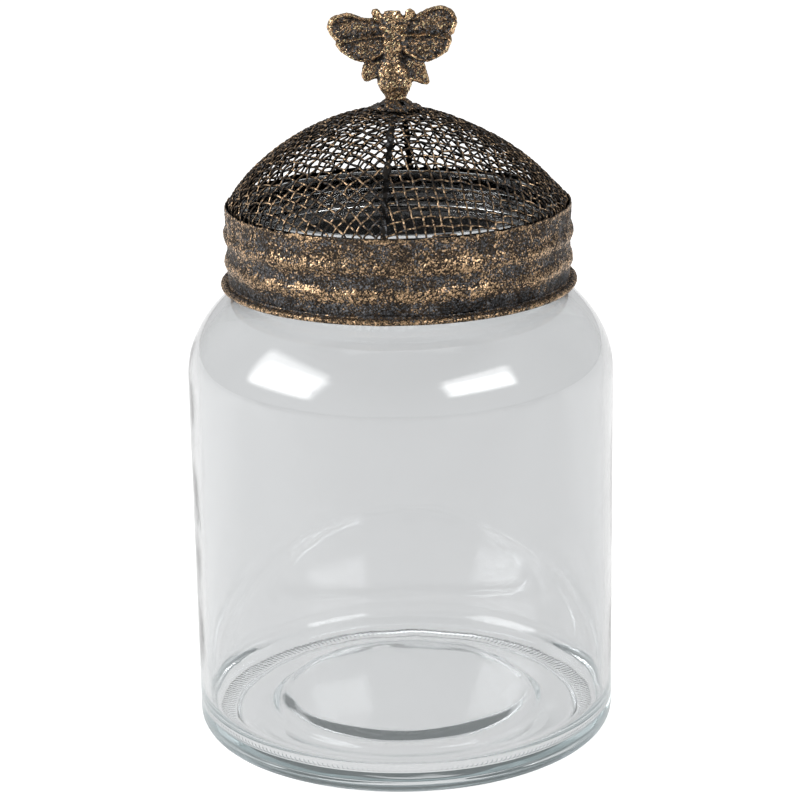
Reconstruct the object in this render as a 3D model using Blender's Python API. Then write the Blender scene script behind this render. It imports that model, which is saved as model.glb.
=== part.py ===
"""Wide-mouth glass jar with a lift-off lid: a sheet-metal band, a woven-wire dome and a cast bee finial.

Units are metres and +Z is up. The jar stands on z = 0 with its axis on the Z axis, and the bee faces -Y.
"""

import math

import bmesh
import bpy
import numpy as np

# Clearances
GAP = 0.0003  # between pieces that seat on each other
HOOP_PLAY = 0.0010  # radial play of the lid on the glass neck
SCREW_PLAY = 0.0003  # radial play of the screw in its holes

# Glass jar
BODY_RADIUS = 0.070
BODY_HEIGHT = 0.1216  # where the straight side ends and the shoulder starts
SHOULDER_RISE = 0.0309  # from there up to the foot of the neck
SHOULDER_FULLNESS = 0.62  # share of that rise by which the side carries on upwards before it turns in
NECK_RADIUS = 0.0518
NECK_LENGTH = 0.0259
BODY_WALL = 0.0030
NECK_WALL = 0.0040
FLOOR = 0.0050
HEEL_RADIUS = 0.0050
INNER_HEEL_RADIUS = 0.0090
NECK_FILLET = 0.0020
BEARING_WIDTH = 0.0070  # flat ring that the jar stands on
BASE_LIFT = 0.0012  # the base inside that ring stands this far off the table
PUSH_UP_RADIUS = 0.0460
PUSH_UP_STEP = 0.0030
PUSH_UP_EDGE = 0.0065  # width of the step at the push-up's edge
PUSH_UP_CROWN = 0.0035
NECK_RING_HEIGHT = 0.0016  # how far the ring that carries the lid stands out of the neck
NECK_RING_WIDTH = 0.0075
NECK_RING_BELOW_RIM = 0.0100
RIM_SIDES = 4

# Sheet metal of the lid
SHEET = 0.0004
BAND_BELOW_RIM = 0.0006  # the glass rim shows this much above the band
BAND_BELOW_NECK = 0.0015  # the band hangs this far below the foot of the neck, over the falling shoulder
RIDGE_HEIGHTS = (0.0008, 0.0012)  # of the lower and the upper ridge
RIDGE_WIDTH = 0.0072
RIDGE_PITCH = 0.0086
RIDGE_RISE = 0.0089  # from the band's lower edge to the middle of the first ridge
BEAD_RADIUS = 0.0014
HOOP_SHEET = 0.0006

# Woven-wire dome
MESH_DEPTH = 0.0011  # thickness of the weave, two wires deep
DOME_RISE = 0.0299
DOME_ROUNDNESS = 1.95  # exponent of the radius in the dome's rounded-square profile
DOME_FULLNESS = 1.25  # exponent of the height
HEM_DEPTH = 0.0040  # the wire goes straight down this far between hoop and band
NET_BAR = 0.0009  # each bar of the net stands for about two wires side by side
NET_SAG = 0.0003  # the net's straight bars cut under the round of the dome by up to this much
NET_RIGHT_ACROSS = 7
NET_RIGHT_ALONG = 16
NET_LEFT_ACROSS = 10
NET_LEFT_ALONG = 20
SEAM_WIDTH = 0.0020
SEAM_TURN = math.radians(-4.6)  # the seam isn't quite in line with the bee
SEAM_STATIONS = 12

# Finial
PLATE_RADIUS = 0.0080
PLATE_EDGE = 0.0006
PLATE_HEIGHT = 0.0022
PLATE_NECK_RADIUS = 0.0038
PLATE_SWEEP = 0.3  # share of the plate's rise that it has reached half-way in
SCREW_RADIUS = 0.0015
SCREW_HEAD_RADIUS = 0.0032
SCREW_HEAD_HEIGHT = 0.0019
SCREW_HEAD_FLAT = 0.7  # share of the head's radius that is flat on top
SCREW_GRIP = 0.0060  # length of the screw inside the bee's stem
WASHER_RADIUS = 0.0060
WASHER_THICKNESS = 0.0008
STEM_RADIUS = 0.0032
DRILL_OVERRUN = 0.0020  # how far a drill starts outside what it cuts

# Bee. It is drawn on a grid, across from the axis and up from its foot, and then brought to its height
BEE_HEIGHT = 0.0297  # from the foot of the stem to the top of the higher wing
ABDOMEN = [(3.3, 1.0), (4.6, 2.4), (5.6, 4.4), (5.9, 6.4), (5.5, 8.8), (4.4, 11.0), (2.6, 12.6), (0.0, 13.2)]
ABDOMEN_SECTION = {"width": 11.8, "depth": 9.7}  # where it is widest
STEM_POINTS = 3  # along these first points of it the section goes over from round to that flatter one
THORAX = {"at": (-0.6, 18.2), "half": (3.9, 6.6), "depth": 4.0}
HEAD = {"at": (-0.5, 25.1), "half": (3.7, 3.0), "depth": 3.0}
ANTENNAE = [{"knob": (-6.1, 27.5), "root": (-2.4, 24.6)}, {"knob": (4.9, 27.5), "root": (1.6, 24.6)}]
ANTENNA_SIZES = {"knob": 1.55, "stalk": 1.15}
WINGS = {
    "fore_wing_left": [(-2.5, 25.3), (-8.5, 25.8), (-13.5, 27.5), (-17.5, 27.5), (-21.0, 25.1), (-21.5, 21.6),
                       (-19.9, 18.9), (-14.0, 19.4), (-7.0, 20.2), (-1.5, 19.6)],
    "hind_wing_left": [(-1.5, 20.4), (-8.0, 20.0), (-14.0, 19.6), (-19.0, 18.6), (-18.4, 16.0), (-16.0, 14.0),
                       (-10.6, 11.7), (-7.0, 12.3), (-2.0, 15.4)],
    "fore_wing_right": [(2.0, 24.8), (7.1, 26.9), (11.0, 28.9), (15.0, 29.7), (18.9, 28.0), (20.2, 24.2),
                        (19.1, 20.8), (17.0, 19.2), (12.0, 19.6), (6.0, 20.0), (1.0, 19.6)],
    "hind_wing_right": [(1.0, 20.4), (7.0, 20.2), (12.0, 20.2), (16.8, 19.2), (17.8, 17.2), (17.2, 15.2),
                        (14.2, 13.1), (10.1, 11.5), (6.5, 12.2), (1.5, 15.4)],
}
PLATE_SIZES = {"fore": 2.6, "hind": 2.1, "legs": 3.2, "rim": 1.1, "recess": 0.5}  # of the wings and legs
LEGS = {
    "legs_left": [(-3.5, 13.0), (-9.8, 11.6), (-11.2, 7.6), (-9.6, 5.5), (-7.0, 6.6), (-2.5, 7.4)],
    "legs_right": [(3.5, 13.0), (9.2, 11.6), (10.3, 8.0), (11.0, 5.2), (9.4, 4.2), (6.4, 5.4), (2.5, 7.4)],
}

# Facets
JAR_COLUMNS = 48
LID_COLUMNS = 48
SMALL_COLUMNS = 16

# Places that follow from the sizes
neck_foot = BODY_HEIGHT + SHOULDER_RISE
rim_height = neck_foot + NECK_LENGTH
hoop_inner = NECK_RADIUS + HOOP_PLAY
hoop_outer = hoop_inner + HOOP_SHEET
ring_middle = rim_height - NECK_RING_BELOW_RIM
band_top = rim_height - BAND_BELOW_RIM
hoop_top = band_top - GAP
dome_foot = band_top + GAP


def facet_loss(radius, columns):
    """How far the flats of a faceted ring lie inside the circle through its corners."""
    return radius * (1 - math.cos(math.pi / columns))


net_facet_loss = facet_loss(hoop_outer, 2 * (NET_LEFT_ACROSS + NET_LEFT_ALONG // 2))
dome_radius = hoop_outer + GAP + MESH_DEPTH / 2 + net_facet_loss
band_inner = dome_radius + MESH_DEPTH / 2 + GAP + facet_loss(dome_radius, LID_COLUMNS)
band_radius = band_inner + SHEET
band_bottom = neck_foot - BAND_BELOW_NECK
seam_edge = SEAM_WIDTH / 2 + GAP + NET_BAR / 2
hole_radius = SCREW_RADIUS + SCREW_PLAY
bee_unit = BEE_HEIGHT / max(up for outline in WINGS.values() for across, up in outline)


def clear_scene():
    for old in list(bpy.data.objects):
        bpy.data.objects.remove(old, do_unlink=True)


def finish_of(name, colour, roughness, metallic, transmission=0.0):
    material = bpy.data.materials.new(name)
    material.use_nodes = True
    shader = material.node_tree.nodes["Principled BSDF"]
    shader.inputs["Base Color"].default_value = (*colour, 1.0)
    shader.inputs["Roughness"].default_value = roughness
    shader.inputs["Metallic"].default_value = metallic
    shader.inputs["Transmission Weight"].default_value = transmission
    return material


def add_object(name, mesh, finish=None, helper=False):
    """Puts a mesh into the scene as a named object, or as a wire guide that shapes another one."""
    thing = bpy.data.objects.new(name, mesh)
    bpy.context.scene.collection.objects.link(thing)
    if finish:
        mesh.materials.append(finish)
    if helper:
        thing.hide_render = True
        thing.display_type = "WIRE"
    return thing


def mesh_from(name, shape, smooth_angle=40.0):
    bmesh.ops.remove_doubles(shape, verts=shape.verts, dist=1e-6)
    bmesh.ops.recalc_face_normals(shape, faces=shape.faces)
    mesh = bpy.data.meshes.new(name)
    shape.to_mesh(mesh)
    shape.free()
    mesh.shade_smooth()
    mesh.set_sharp_from_angle(angle=math.radians(smooth_angle))
    return mesh


def turned(name, profile, columns, closed=True):
    """A solid of revolution: a profile of (radius, height) points spun round the Z axis."""
    shape = bmesh.new()
    corners = [shape.verts.new((radius, 0.0, height)) for radius, height in profile]
    ends = corners[1:] + corners[:1] if closed else corners[1:]
    edges = [shape.edges.new(pair) for pair in zip(corners, ends)]
    bmesh.ops.spin(
        shape, geom=corners + edges, axis=(0, 0, 1), cent=(0, 0, 0), angle=math.tau, steps=columns
    )
    return mesh_from(name, shape)


def arc(centre, radius, start, end, steps):
    """Points on a circle from one angle to another, in degrees, both ends included."""
    angles = np.radians(np.linspace(start, end, steps + 1))
    return [(centre[0] + radius * math.cos(a), centre[1] + radius * math.sin(a)) for a in angles]


def bezier(points, steps):
    start, first, second, end = (np.array(point) for point in points)
    t = np.linspace(0, 1, steps + 1)[:, None]
    curve = (1 - t) ** 3 * start + 3 * (1 - t) ** 2 * t * first + 3 * (1 - t) * t**2 * second + t**3 * end
    return [tuple(point) for point in curve]


def shoulder(body_radius, neck_radius, foot, top, fillet, steps=8):
    """The shoulder's curve: straight up out of the side, over the round, and up into the neck."""
    side = [(body_radius, foot), (body_radius, foot + SHOULDER_RISE * SHOULDER_FULLNESS)]
    return bezier(side + [(neck_radius, top - fillet), (neck_radius, top)], steps)


def push_up(radius):
    """How far the push-up lifts the base at this radius: a soft step at its edge and a low crown inside."""
    step = min(max((PUSH_UP_RADIUS - radius) / PUSH_UP_EDGE, 0.0), 1.0)
    crown = max(1 - (radius / PUSH_UP_RADIUS) ** 2, 0.0)
    return PUSH_UP_STEP * step * step * (3 - 2 * step) + PUSH_UP_CROWN * crown


def neck_ring(share):
    """Bulge of the ring on the glass neck, a raised cosine over shares -1/2 to 1/2 of its width."""
    return NECK_RING_HEIGHT * math.cos(math.pi * share) ** 2


def hoop_seat():
    """Height at which the neck ring's upper slope reaches the hoop's inner edge, which sits down on it."""
    share = math.acos(math.sqrt(min(HOOP_PLAY / NECK_RING_HEIGHT, 1.0))) / math.pi
    return ring_middle + share * NECK_RING_WIDTH


def make_jar(finish):
    push_up_radii = [
        0.0,
        PUSH_UP_RADIUS * 0.6,
        PUSH_UP_RADIUS - PUSH_UP_EDGE,
        PUSH_UP_RADIUS - PUSH_UP_EDGE / 2,
        PUSH_UP_RADIUS,
    ]
    heel = BODY_RADIUS - HEEL_RADIUS
    bearing_inner = heel - BEARING_WIDTH
    underside = [(radius, BASE_LIFT + push_up(radius)) for radius in push_up_radii]
    underside += [(bearing_inner - BASE_LIFT, BASE_LIFT), (bearing_inner, 0.0)]
    outside = arc((heel, HEEL_RADIUS), HEEL_RADIUS, -90, 0, 3)
    outside += shoulder(BODY_RADIUS, NECK_RADIUS, BODY_HEIGHT, neck_foot, NECK_FILLET)
    for share in (-0.5, -0.25, 0.0, 0.25, 0.5):
        outside.append((NECK_RADIUS + neck_ring(share), ring_middle + share * NECK_RING_WIDTH))
    rim_radius = NECK_WALL / 2
    rim = arc((NECK_RADIUS - rim_radius, rim_height - rim_radius), rim_radius, 0, 180, RIM_SIDES)
    inner_neck = NECK_RADIUS - NECK_WALL
    inner_body = BODY_RADIUS - BODY_WALL
    inside = shoulder(inner_body, inner_neck, BODY_HEIGHT, neck_foot - BODY_WALL, NECK_FILLET, 6)[::-1]
    inner_heel = inner_body - INNER_HEEL_RADIUS
    inside += arc((inner_heel, FLOOR + INNER_HEEL_RADIUS), INNER_HEEL_RADIUS, 0, -90, 3)
    inside += [(radius, FLOOR + BASE_LIFT + push_up(radius)) for radius in push_up_radii[::-1]]
    profile = underside + outside + rim + inside
    return add_object("glass_jar", turned("glass_jar", profile, JAR_COLUMNS, closed=False), finish)


def band_line(side, heights):
    """The band's outer or inner line with its rolled ridges, as raised cosine bumps."""
    line = []
    for height in heights:
        bulge = 0.0
        for ridge, rise in enumerate(RIDGE_HEIGHTS):
            share = (height - band_bottom - RIDGE_RISE - ridge * RIDGE_PITCH) / RIDGE_WIDTH
            if abs(share) < 0.5:
                bulge += rise * math.cos(math.pi * share) ** 2
        line.append((side + bulge, height))
    return line


def make_band(finish):
    bead_middle = (band_inner + BEAD_RADIUS, band_bottom + BEAD_RADIUS)
    heights = [band_bottom + 2 * BEAD_RADIUS + GAP]
    for ridge in range(len(RIDGE_HEIGHTS)):
        middle = band_bottom + RIDGE_RISE + ridge * RIDGE_PITCH
        heights += [middle + share * RIDGE_WIDTH for share in (-0.5, -0.25, 0.0, 0.25, 0.5)]
    heights = [height for height in heights if height < band_top] + [band_top]
    roll_start = math.degrees(math.acos((SHEET - BEAD_RADIUS) / BEAD_RADIUS))
    roll = arc(bead_middle, BEAD_RADIUS, roll_start, -180, 6)
    profile = band_line(band_radius, heights)[::-1] + roll + band_line(band_inner, heights)
    return add_object("lid_band", turned("lid_band", profile, LID_COLUMNS), finish)


def make_hoop(finish):
    """Plain hoop inside the band. It pinches the edge of the mesh, and it sits down on the neck ring."""
    bottom = hoop_seat() + GAP
    profile = [(hoop_outer, bottom), (hoop_outer, hoop_top), (hoop_inner, hoop_top), (hoop_inner, bottom)]
    return add_object("mesh_hoop", turned("mesh_hoop", profile, LID_COLUMNS), finish)


def dome_height(radius):
    """Middle of the weave over this radius: (r / R) ** roundness + (z / rise) ** fullness = 1."""
    inside = np.clip(1 - (np.asarray(radius) / dome_radius) ** DOME_ROUNDNESS, 0, 1)
    return dome_foot + DOME_RISE * inside ** (1 / DOME_FULLNESS)


def dome_meridian(samples=400):
    """Radius and height along the dome from its top, and the share of the way down at each."""
    turn = np.linspace(0, math.pi / 2, samples)
    radius = dome_radius * np.sin(turn)
    height = dome_height(radius)
    steps = np.hypot(np.diff(radius), np.diff(height))
    way = np.concatenate([[0], np.cumsum(steps)])
    return radius, height, way / way[-1]


def on_dome(side, across, along):
    """A point of one half of the dome.

    The half square 0..1 by -1..1 is spread over the half disc, so that its straight side is the seam and
    its other three sides are the rim, and the disc is then drawn over the dome at equal steps of its arc.
    """
    alpha, beta = across * math.pi / 4, along * math.pi / 4
    x = math.sqrt(2) * math.sin(alpha) * math.cos(beta)
    y = math.sqrt(2) * math.cos(alpha) * math.sin(beta)
    radii, heights, shares = dome_meridian()
    share = math.hypot(x, y)
    radius = float(np.interp(share, shares, radii))
    height = float(np.interp(share, shares, heights))
    if radius < seam_edge:
        return side * seam_edge, y * dome_radius, height
    x = seam_edge + x / share * (radius - seam_edge)
    return side * x, math.copysign(math.sqrt(max(radius**2 - x**2, 0.0)), y), height


def net_cells(across, along, diagonal):
    """The cells of a net over the half square, as corner indices, with the rim's corners in order.

    A diagonal net keeps every second corner and joins them round the corners that it leaves out.
    """
    cells = []
    if diagonal:
        for i in range(across + 1):
            for j in range(along + 1):
                if (i + j) % 2:
                    ring = [(i - 1, j), (i, j - 1), (i + 1, j), (i, j + 1)]
                    cells.append([(a, b) for a, b in ring if 0 <= a <= across and 0 <= b <= along])
    else:
        for i in range(across):
            for j in range(along):
                cells.append([(i, j), (i + 1, j), (i + 1, j + 1), (i, j + 1)])
    rim = [(i, 0) for i in range(across)] + [(across, j) for j in range(along)]
    rim += [(i, along) for i in range(across, -1, -1)]
    if diagonal:
        rim = [corner for corner in rim if sum(corner) % 2 == 0]
    return cells, rim


def make_panel(name, side, across, along, diagonal, finish):
    """Half of the dome's wire net, with a hem that goes down between the hoop and the band."""
    cells, rim = net_cells(across, along, diagonal)
    shape = bmesh.new()
    corners = {}
    for cell in cells:
        for corner in cell:
            if corner not in corners:
                place = on_dome(side, corner[0] / across, 2 * corner[1] / along - 1)
                corners[corner] = shape.verts.new(place)
    for cell in cells:
        shape.faces.new([corners[corner] for corner in cell])
    hem = [shape.verts.new((*corners[corner].co.xy, dome_foot - HEM_DEPTH)) for corner in rim]
    for k in range(len(rim) - 1):
        shape.faces.new([corners[rim[k]], corners[rim[k + 1]], hem[k + 1], hem[k]])
    panel = add_object(name, mesh_from(name, shape), finish)
    net = panel.modifiers.new("net", "WIREFRAME")
    net.thickness = NET_BAR
    net.use_boundary = True
    net.use_even_offset = True
    screw_hole = panel.modifiers.new("screw_hole", "BOOLEAN")
    screw_hole.operation = "DIFFERENCE"
    screw_hole.object = bpy.data.objects["screw_hole_cutter"]
    panel.rotation_euler.z = SEAM_TURN
    return panel


def make_seam_strip(name, facing, finish):
    """Folded strip that binds the edges of both halves, from under the finial plate down into the band."""
    radii, heights, shares = dome_meridian()
    start = float(np.interp(hole_radius + SEAM_WIDTH, radii, shares))
    way = np.linspace(start, 1, SEAM_STATIONS)
    radius = np.append(np.interp(way, shares, radii), dome_radius)
    height = np.append(np.interp(way, shares, heights), dome_foot - HEM_DEPTH)
    slope = np.stack([np.gradient(radius), np.gradient(height)], 1)
    slope /= np.linalg.norm(slope, axis=1)[:, None]
    out = np.stack([-slope[:, 1], slope[:, 0]], 1) * MESH_DEPTH / 2
    shape = bmesh.new()
    rings = []
    for r, z, (push_r, push_z) in zip(radius, height, out):
        ring = []
        for across, side in ((-1, 1), (1, 1), (1, -1), (-1, -1)):
            x = across * SEAM_WIDTH / 2
            ring.append(shape.verts.new((x, facing * (r + side * push_r), z + side * push_z)))
        rings.append(ring)
    for upper, lower in zip(rings, rings[1:]):
        for k in range(4):
            shape.faces.new([upper[k], upper[(k + 1) % 4], lower[(k + 1) % 4], lower[k]])
    shape.faces.new(rings[0])
    shape.faces.new(rings[-1])
    strip = add_object(name, mesh_from(name, shape), finish)
    strip.rotation_euler.z = SEAM_TURN
    return strip


def plate_underside(radius):
    return float(dome_height(radius)) + MESH_DEPTH / 2 + GAP


def make_plate(finish):
    middle = (PLATE_RADIUS + PLATE_NECK_RADIUS) / 2
    top = plate_underside(0.0) + PLATE_HEIGHT
    edge = plate_underside(PLATE_RADIUS) + PLATE_EDGE
    profile = [(radius, plate_underside(radius)) for radius in (hole_radius, middle, PLATE_RADIUS)]
    profile += [(PLATE_RADIUS, edge), (middle, edge + PLATE_SWEEP * (top - edge))]
    profile.append((PLATE_NECK_RADIUS, top - GAP))
    profile += [(PLATE_NECK_RADIUS - GAP, top), (hole_radius, top)]
    return add_object("finial_plate", turned("finial_plate", profile, LID_COLUMNS // 2), finish)


def washer_top():
    return float(dome_height(WASHER_RADIUS)) - MESH_DEPTH / 2 - NET_SAG - GAP


def make_washer(finish):
    top = washer_top()
    profile = [
        (hole_radius, top - WASHER_THICKNESS),
        (WASHER_RADIUS, top - WASHER_THICKNESS),
        (WASHER_RADIUS, top),
        (hole_radius, top),
    ]
    return add_object("inner_washer", turned("inner_washer", profile, LID_COLUMNS // 2), finish)


def make_screw(finish):
    """Pan-head screw, up through the washer, the mesh and the plate into the bee's stem."""
    seat = washer_top() - WASHER_THICKNESS - GAP
    tip = bee_foot() + SCREW_GRIP
    crown = SCREW_HEAD_RADIUS * SCREW_HEAD_FLAT
    profile = [
        (0.0, seat - SCREW_HEAD_HEIGHT),
        (crown, seat - SCREW_HEAD_HEIGHT),
        (SCREW_HEAD_RADIUS, seat - SCREW_HEAD_HEIGHT / 2),
        (SCREW_HEAD_RADIUS, seat),
        (SCREW_RADIUS, seat),
        (SCREW_RADIUS, tip - SCREW_RADIUS / 2),
        (SCREW_RADIUS / 2, tip),
        (0.0, tip),
    ]
    return add_object("finial_screw", turned("finial_screw", profile, SMALL_COLUMNS, closed=False), finish)


def bee_foot():
    return plate_underside(0.0) + PLATE_HEIGHT + GAP


def round_outline(points, steps=2):
    """A smooth closed line through the points, as Catmull-Rom spans."""
    points = np.array(points)
    before, after, later = (np.roll(points, shift, axis=0) for shift in (1, -1, -2))
    line = []
    for t in np.arange(steps) / steps:
        line.append(
            0.5
            * (
                2 * points
                + (after - before) * t
                + (2 * before - 5 * points + 4 * after - later) * t**2
                + (3 * points - before - 3 * after + later) * t**3
            )
        )
    return np.stack(line, axis=1).reshape(-1, 2)


def cast_plate(name, outline, rim=0.0, recess=0.0):
    """A flat casting with this outline, with a rim round a recess. Its name's start says how thick it is."""
    shape = bmesh.new()
    depth = PLATE_SIZES[name[:4]] * bee_unit
    line = round_outline(outline) * bee_unit
    corners = [shape.verts.new((x, -depth / 2, z)) for x, z in line]
    front = shape.faces.new(corners)
    back = bmesh.ops.extrude_face_region(shape, geom=[front])["geom"]
    moved = [thing for thing in back if isinstance(thing, bmesh.types.BMVert)]
    bmesh.ops.translate(shape, verts=moved, vec=(0, depth, 0))
    bmesh.ops.recalc_face_normals(shape, faces=shape.faces)
    sunk = recess * bee_unit
    if rim:
        for face in [face for face in shape.faces if len(face.verts) == len(corners)]:
            bmesh.ops.inset_region(shape, faces=[face], thickness=rim * bee_unit, use_even_offset=False)
            bmesh.ops.inset_region(shape, faces=[face], thickness=sunk, depth=-sunk, use_even_offset=False)
    return add_object(name, mesh_from(name, shape), helper=True)


def ellipsoid(name, middle, half, depth):
    shape = bmesh.new()
    bmesh.ops.create_uvsphere(shape, u_segments=12, v_segments=8, radius=1)
    bmesh.ops.scale(shape, verts=shape.verts, vec=(half[0] * bee_unit, depth * bee_unit, half[1] * bee_unit))
    bmesh.ops.translate(shape, verts=shape.verts, vec=(middle[0] * bee_unit, 0, middle[1] * bee_unit))
    return add_object(name, mesh_from(name, shape), helper=True)


def antenna(name, root, knob):
    """A short stalk that leans out of the head, with a round knob that swallows its end."""
    size = ANTENNA_SIZES["knob"]
    ball = ellipsoid(f"{name}_knob", knob, (size, size), size)
    run = np.array(knob) - np.array(root)
    shape = bmesh.new()
    bmesh.ops.create_cone(
        shape,
        cap_ends=True,
        segments=8,
        radius1=size * bee_unit,
        radius2=ANTENNA_SIZES["stalk"] * bee_unit,
        depth=float(np.linalg.norm(run)) * bee_unit,
    )
    stalk = add_object(f"{name}_stalk", mesh_from(name, shape), helper=True)
    middle = (np.array(knob) + np.array(root)) / 2
    stalk.location = (middle[0] * bee_unit, 0, middle[1] * bee_unit)
    stalk.rotation_euler.y = math.atan2(run[0], run[1])
    return [ball, stalk]


def make_bee(finish):
    """The bee as one casting: its body, wings, legs and antennae joined, and its stem bored for the screw."""
    profile = [(0.0, 0.0), (STEM_RADIUS, 0.0)]
    profile += [(radius * bee_unit, height * bee_unit) for radius, height in ABDOMEN]
    bee = add_object("bee_finial", turned("bee_finial", profile, SMALL_COLUMNS, closed=False), finish)
    flat_from = ABDOMEN[STEM_POINTS - 1][1] * bee_unit
    narrowing = 1 - ABDOMEN_SECTION["depth"] / ABDOMEN_SECTION["width"]
    for corner in bee.data.vertices:
        share = min(corner.co.z / flat_from, 1.0)
        corner.co.y *= 1 - narrowing * share
    pieces = [
        ellipsoid("thorax", THORAX["at"], THORAX["half"], THORAX["depth"]),
        ellipsoid("head", HEAD["at"], HEAD["half"], HEAD["depth"]),
    ]
    for number, feeler in enumerate(ANTENNAE):
        pieces += antenna(f"antenna_{number + 1}", feeler["root"], feeler["knob"])
    for name, outline in WINGS.items():
        pieces.append(cast_plate(name, outline, PLATE_SIZES["rim"], PLATE_SIZES["recess"]))
    for name, outline in LEGS.items():
        pieces.append(cast_plate(name, outline))
    for piece in pieces:
        piece.parent = bee
        join = bee.modifiers.new(piece.name, "BOOLEAN")
        join.operation = "UNION"
        join.object = piece
    bore = bpy.data.objects["stem_bore_cutter"]
    bore.parent = bee
    cut = bee.modifiers.new("stem_bore", "BOOLEAN")
    cut.operation = "DIFFERENCE"
    cut.object = bore
    bee.location.z = bee_foot()
    return bee


def make_cutters():
    """The drills for the screw: through the top of the mesh, and up into the bee's stem."""
    top = float(dome_height(0.0)) + MESH_DEPTH + DRILL_OVERRUN
    bottom = float(dome_height(0.0)) - MESH_DEPTH - DRILL_OVERRUN
    through = [(0.0, bottom), (hole_radius, bottom), (hole_radius, top), (0.0, top)]
    depth = SCREW_GRIP + GAP
    start = -DRILL_OVERRUN
    blind = [(0.0, start), (hole_radius, start), (hole_radius, depth), (0.0, depth + SCREW_PLAY)]
    for name, profile in (("screw_hole_cutter", through), ("stem_bore_cutter", blind)):
        add_object(name, turned(name, profile, SMALL_COLUMNS, closed=False), helper=True)


def main():
    clear_scene()
    glass = finish_of("clear_glass", (0.90, 0.95, 0.95), 0.02, 0.0, transmission=1.0)
    band = finish_of("aged_band", (0.16, 0.11, 0.07), 0.55, 0.85)
    hoop = finish_of("dark_hoop", (0.07, 0.055, 0.045), 0.6, 0.8)
    wire_left = finish_of("aged_wire_left", (0.12, 0.09, 0.065), 0.5, 0.85)
    wire_right = finish_of("aged_wire_right", (0.13, 0.095, 0.065), 0.5, 0.85)
    seam = finish_of("seam_strip", (0.08, 0.06, 0.045), 0.55, 0.8)
    plate = finish_of("aged_plate", (0.17, 0.12, 0.08), 0.5, 0.85)
    bee = finish_of("aged_casting", (0.20, 0.14, 0.085), 0.45, 0.9)
    steel = finish_of("plated_steel", (0.45, 0.44, 0.42), 0.35, 1.0)
    make_cutters()
    make_jar(glass)
    lid = bpy.data.objects.new("lid_lift_axis", None)
    bpy.context.scene.collection.objects.link(lid)
    lid_pieces = [
        make_band(band),
        make_hoop(hoop),
        make_panel("mesh_panel_left", -1, NET_LEFT_ACROSS, NET_LEFT_ALONG, True, wire_left),
        make_panel("mesh_panel_right", 1, NET_RIGHT_ACROSS, NET_RIGHT_ALONG, False, wire_right),
        make_seam_strip("seam_strip_front", -1, seam),
        make_seam_strip("seam_strip_back", 1, seam),
        make_plate(plate),
        make_bee(bee),
        make_screw(steel),
        make_washer(steel),
    ]
    for piece in lid_pieces:
        piece.parent = lid
    print(f"dome radius {dome_radius * 1000:.2f} mm, band radius {band_radius * 1000:.2f} mm")
    print(f"bee foot at {bee_foot() * 1000:.2f} mm")


main()
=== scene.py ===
# %% [markdown]
# A glass jar with a mesh lid
#
# The jar is blown glass with a wide neck. Its lid is a sheet-metal band that carries a dome of woven wire,
# and a cast bee stands on top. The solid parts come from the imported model, which says where everything is.
# This lesson gives them their looks: the glass, the wire, the rubbed bronze finish and the light.
# Units are metres, Z is up, and the camera looks along +Y.

import math

import bmesh
import bpy
import numpy as np
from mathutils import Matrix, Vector


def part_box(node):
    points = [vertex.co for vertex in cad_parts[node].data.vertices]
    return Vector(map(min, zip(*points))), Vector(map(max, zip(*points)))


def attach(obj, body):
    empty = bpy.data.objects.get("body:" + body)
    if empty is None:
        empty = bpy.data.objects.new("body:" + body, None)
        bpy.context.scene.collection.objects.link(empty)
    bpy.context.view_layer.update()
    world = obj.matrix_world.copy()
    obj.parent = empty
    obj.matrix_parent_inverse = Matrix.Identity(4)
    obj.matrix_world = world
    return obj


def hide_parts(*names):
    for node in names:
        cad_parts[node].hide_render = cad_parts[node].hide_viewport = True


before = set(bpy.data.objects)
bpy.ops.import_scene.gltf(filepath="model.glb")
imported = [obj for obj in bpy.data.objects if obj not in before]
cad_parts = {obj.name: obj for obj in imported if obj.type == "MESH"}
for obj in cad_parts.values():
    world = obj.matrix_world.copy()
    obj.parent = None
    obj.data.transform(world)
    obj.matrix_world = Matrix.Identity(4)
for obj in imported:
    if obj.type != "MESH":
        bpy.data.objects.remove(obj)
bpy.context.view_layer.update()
MM = 0.001

# %% [markdown]
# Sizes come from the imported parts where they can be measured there. The rest are the jar maker's and the
# lid maker's own numbers, such as walls, fillets and the rise of the dome.

# %% Sizes
_, glass_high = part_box("glass_jar")
band_low, band_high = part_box("lid_band")
hoop_low, hoop_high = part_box("mesh_hoop")
_, plate_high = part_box("finial_plate")
_, bee_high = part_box("bee_finial")

BODY_RADIUS = glass_high.x
RIM_DROP = 0.6 * MM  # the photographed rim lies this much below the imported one
RIM_HEIGHT = glass_high.z - RIM_DROP
NECK_LENGTH = 25.3 * MM
neck_foot = RIM_HEIGHT - NECK_LENGTH
neck_radius = 51.8 * MM
HOOP_PLAY = 1.0 * MM
hoop_inner, hoop_outer = neck_radius + HOOP_PLAY, hoop_high.x
band_bottom, band_top = band_low.z, band_high.z
GAP = 0.3 * MM
dome_foot = band_top + GAP
dome_rise = 29.9 * MM
mesh_depth = 1.1 * MM
dome_radius = 54.41 * MM
band_inner = 55.38 * MM
seam_turn = math.radians(-4.6)
shown = {"body radius": BODY_RADIUS, "rim": RIM_HEIGHT, "band top": band_top}
print("sizes in mm:", {name: round(size / MM, 1) for name, size in shown.items()})

# %% [markdown]
# Every surface here is worked out with numpy as a grid of points. These helpers turn a grid into a mesh,
# spin a profile into a turned piece and draw a round wire along a path. They are written once, because
# the jar, the band, the wires and the bee all need them.


# %% Put points and faces into a mesh
def put_in_scene(name, data):
    """A new object with this data, linked to the scene."""
    thing = bpy.data.objects.new(name, data)
    bpy.context.scene.collection.objects.link(thing)
    return thing


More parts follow.
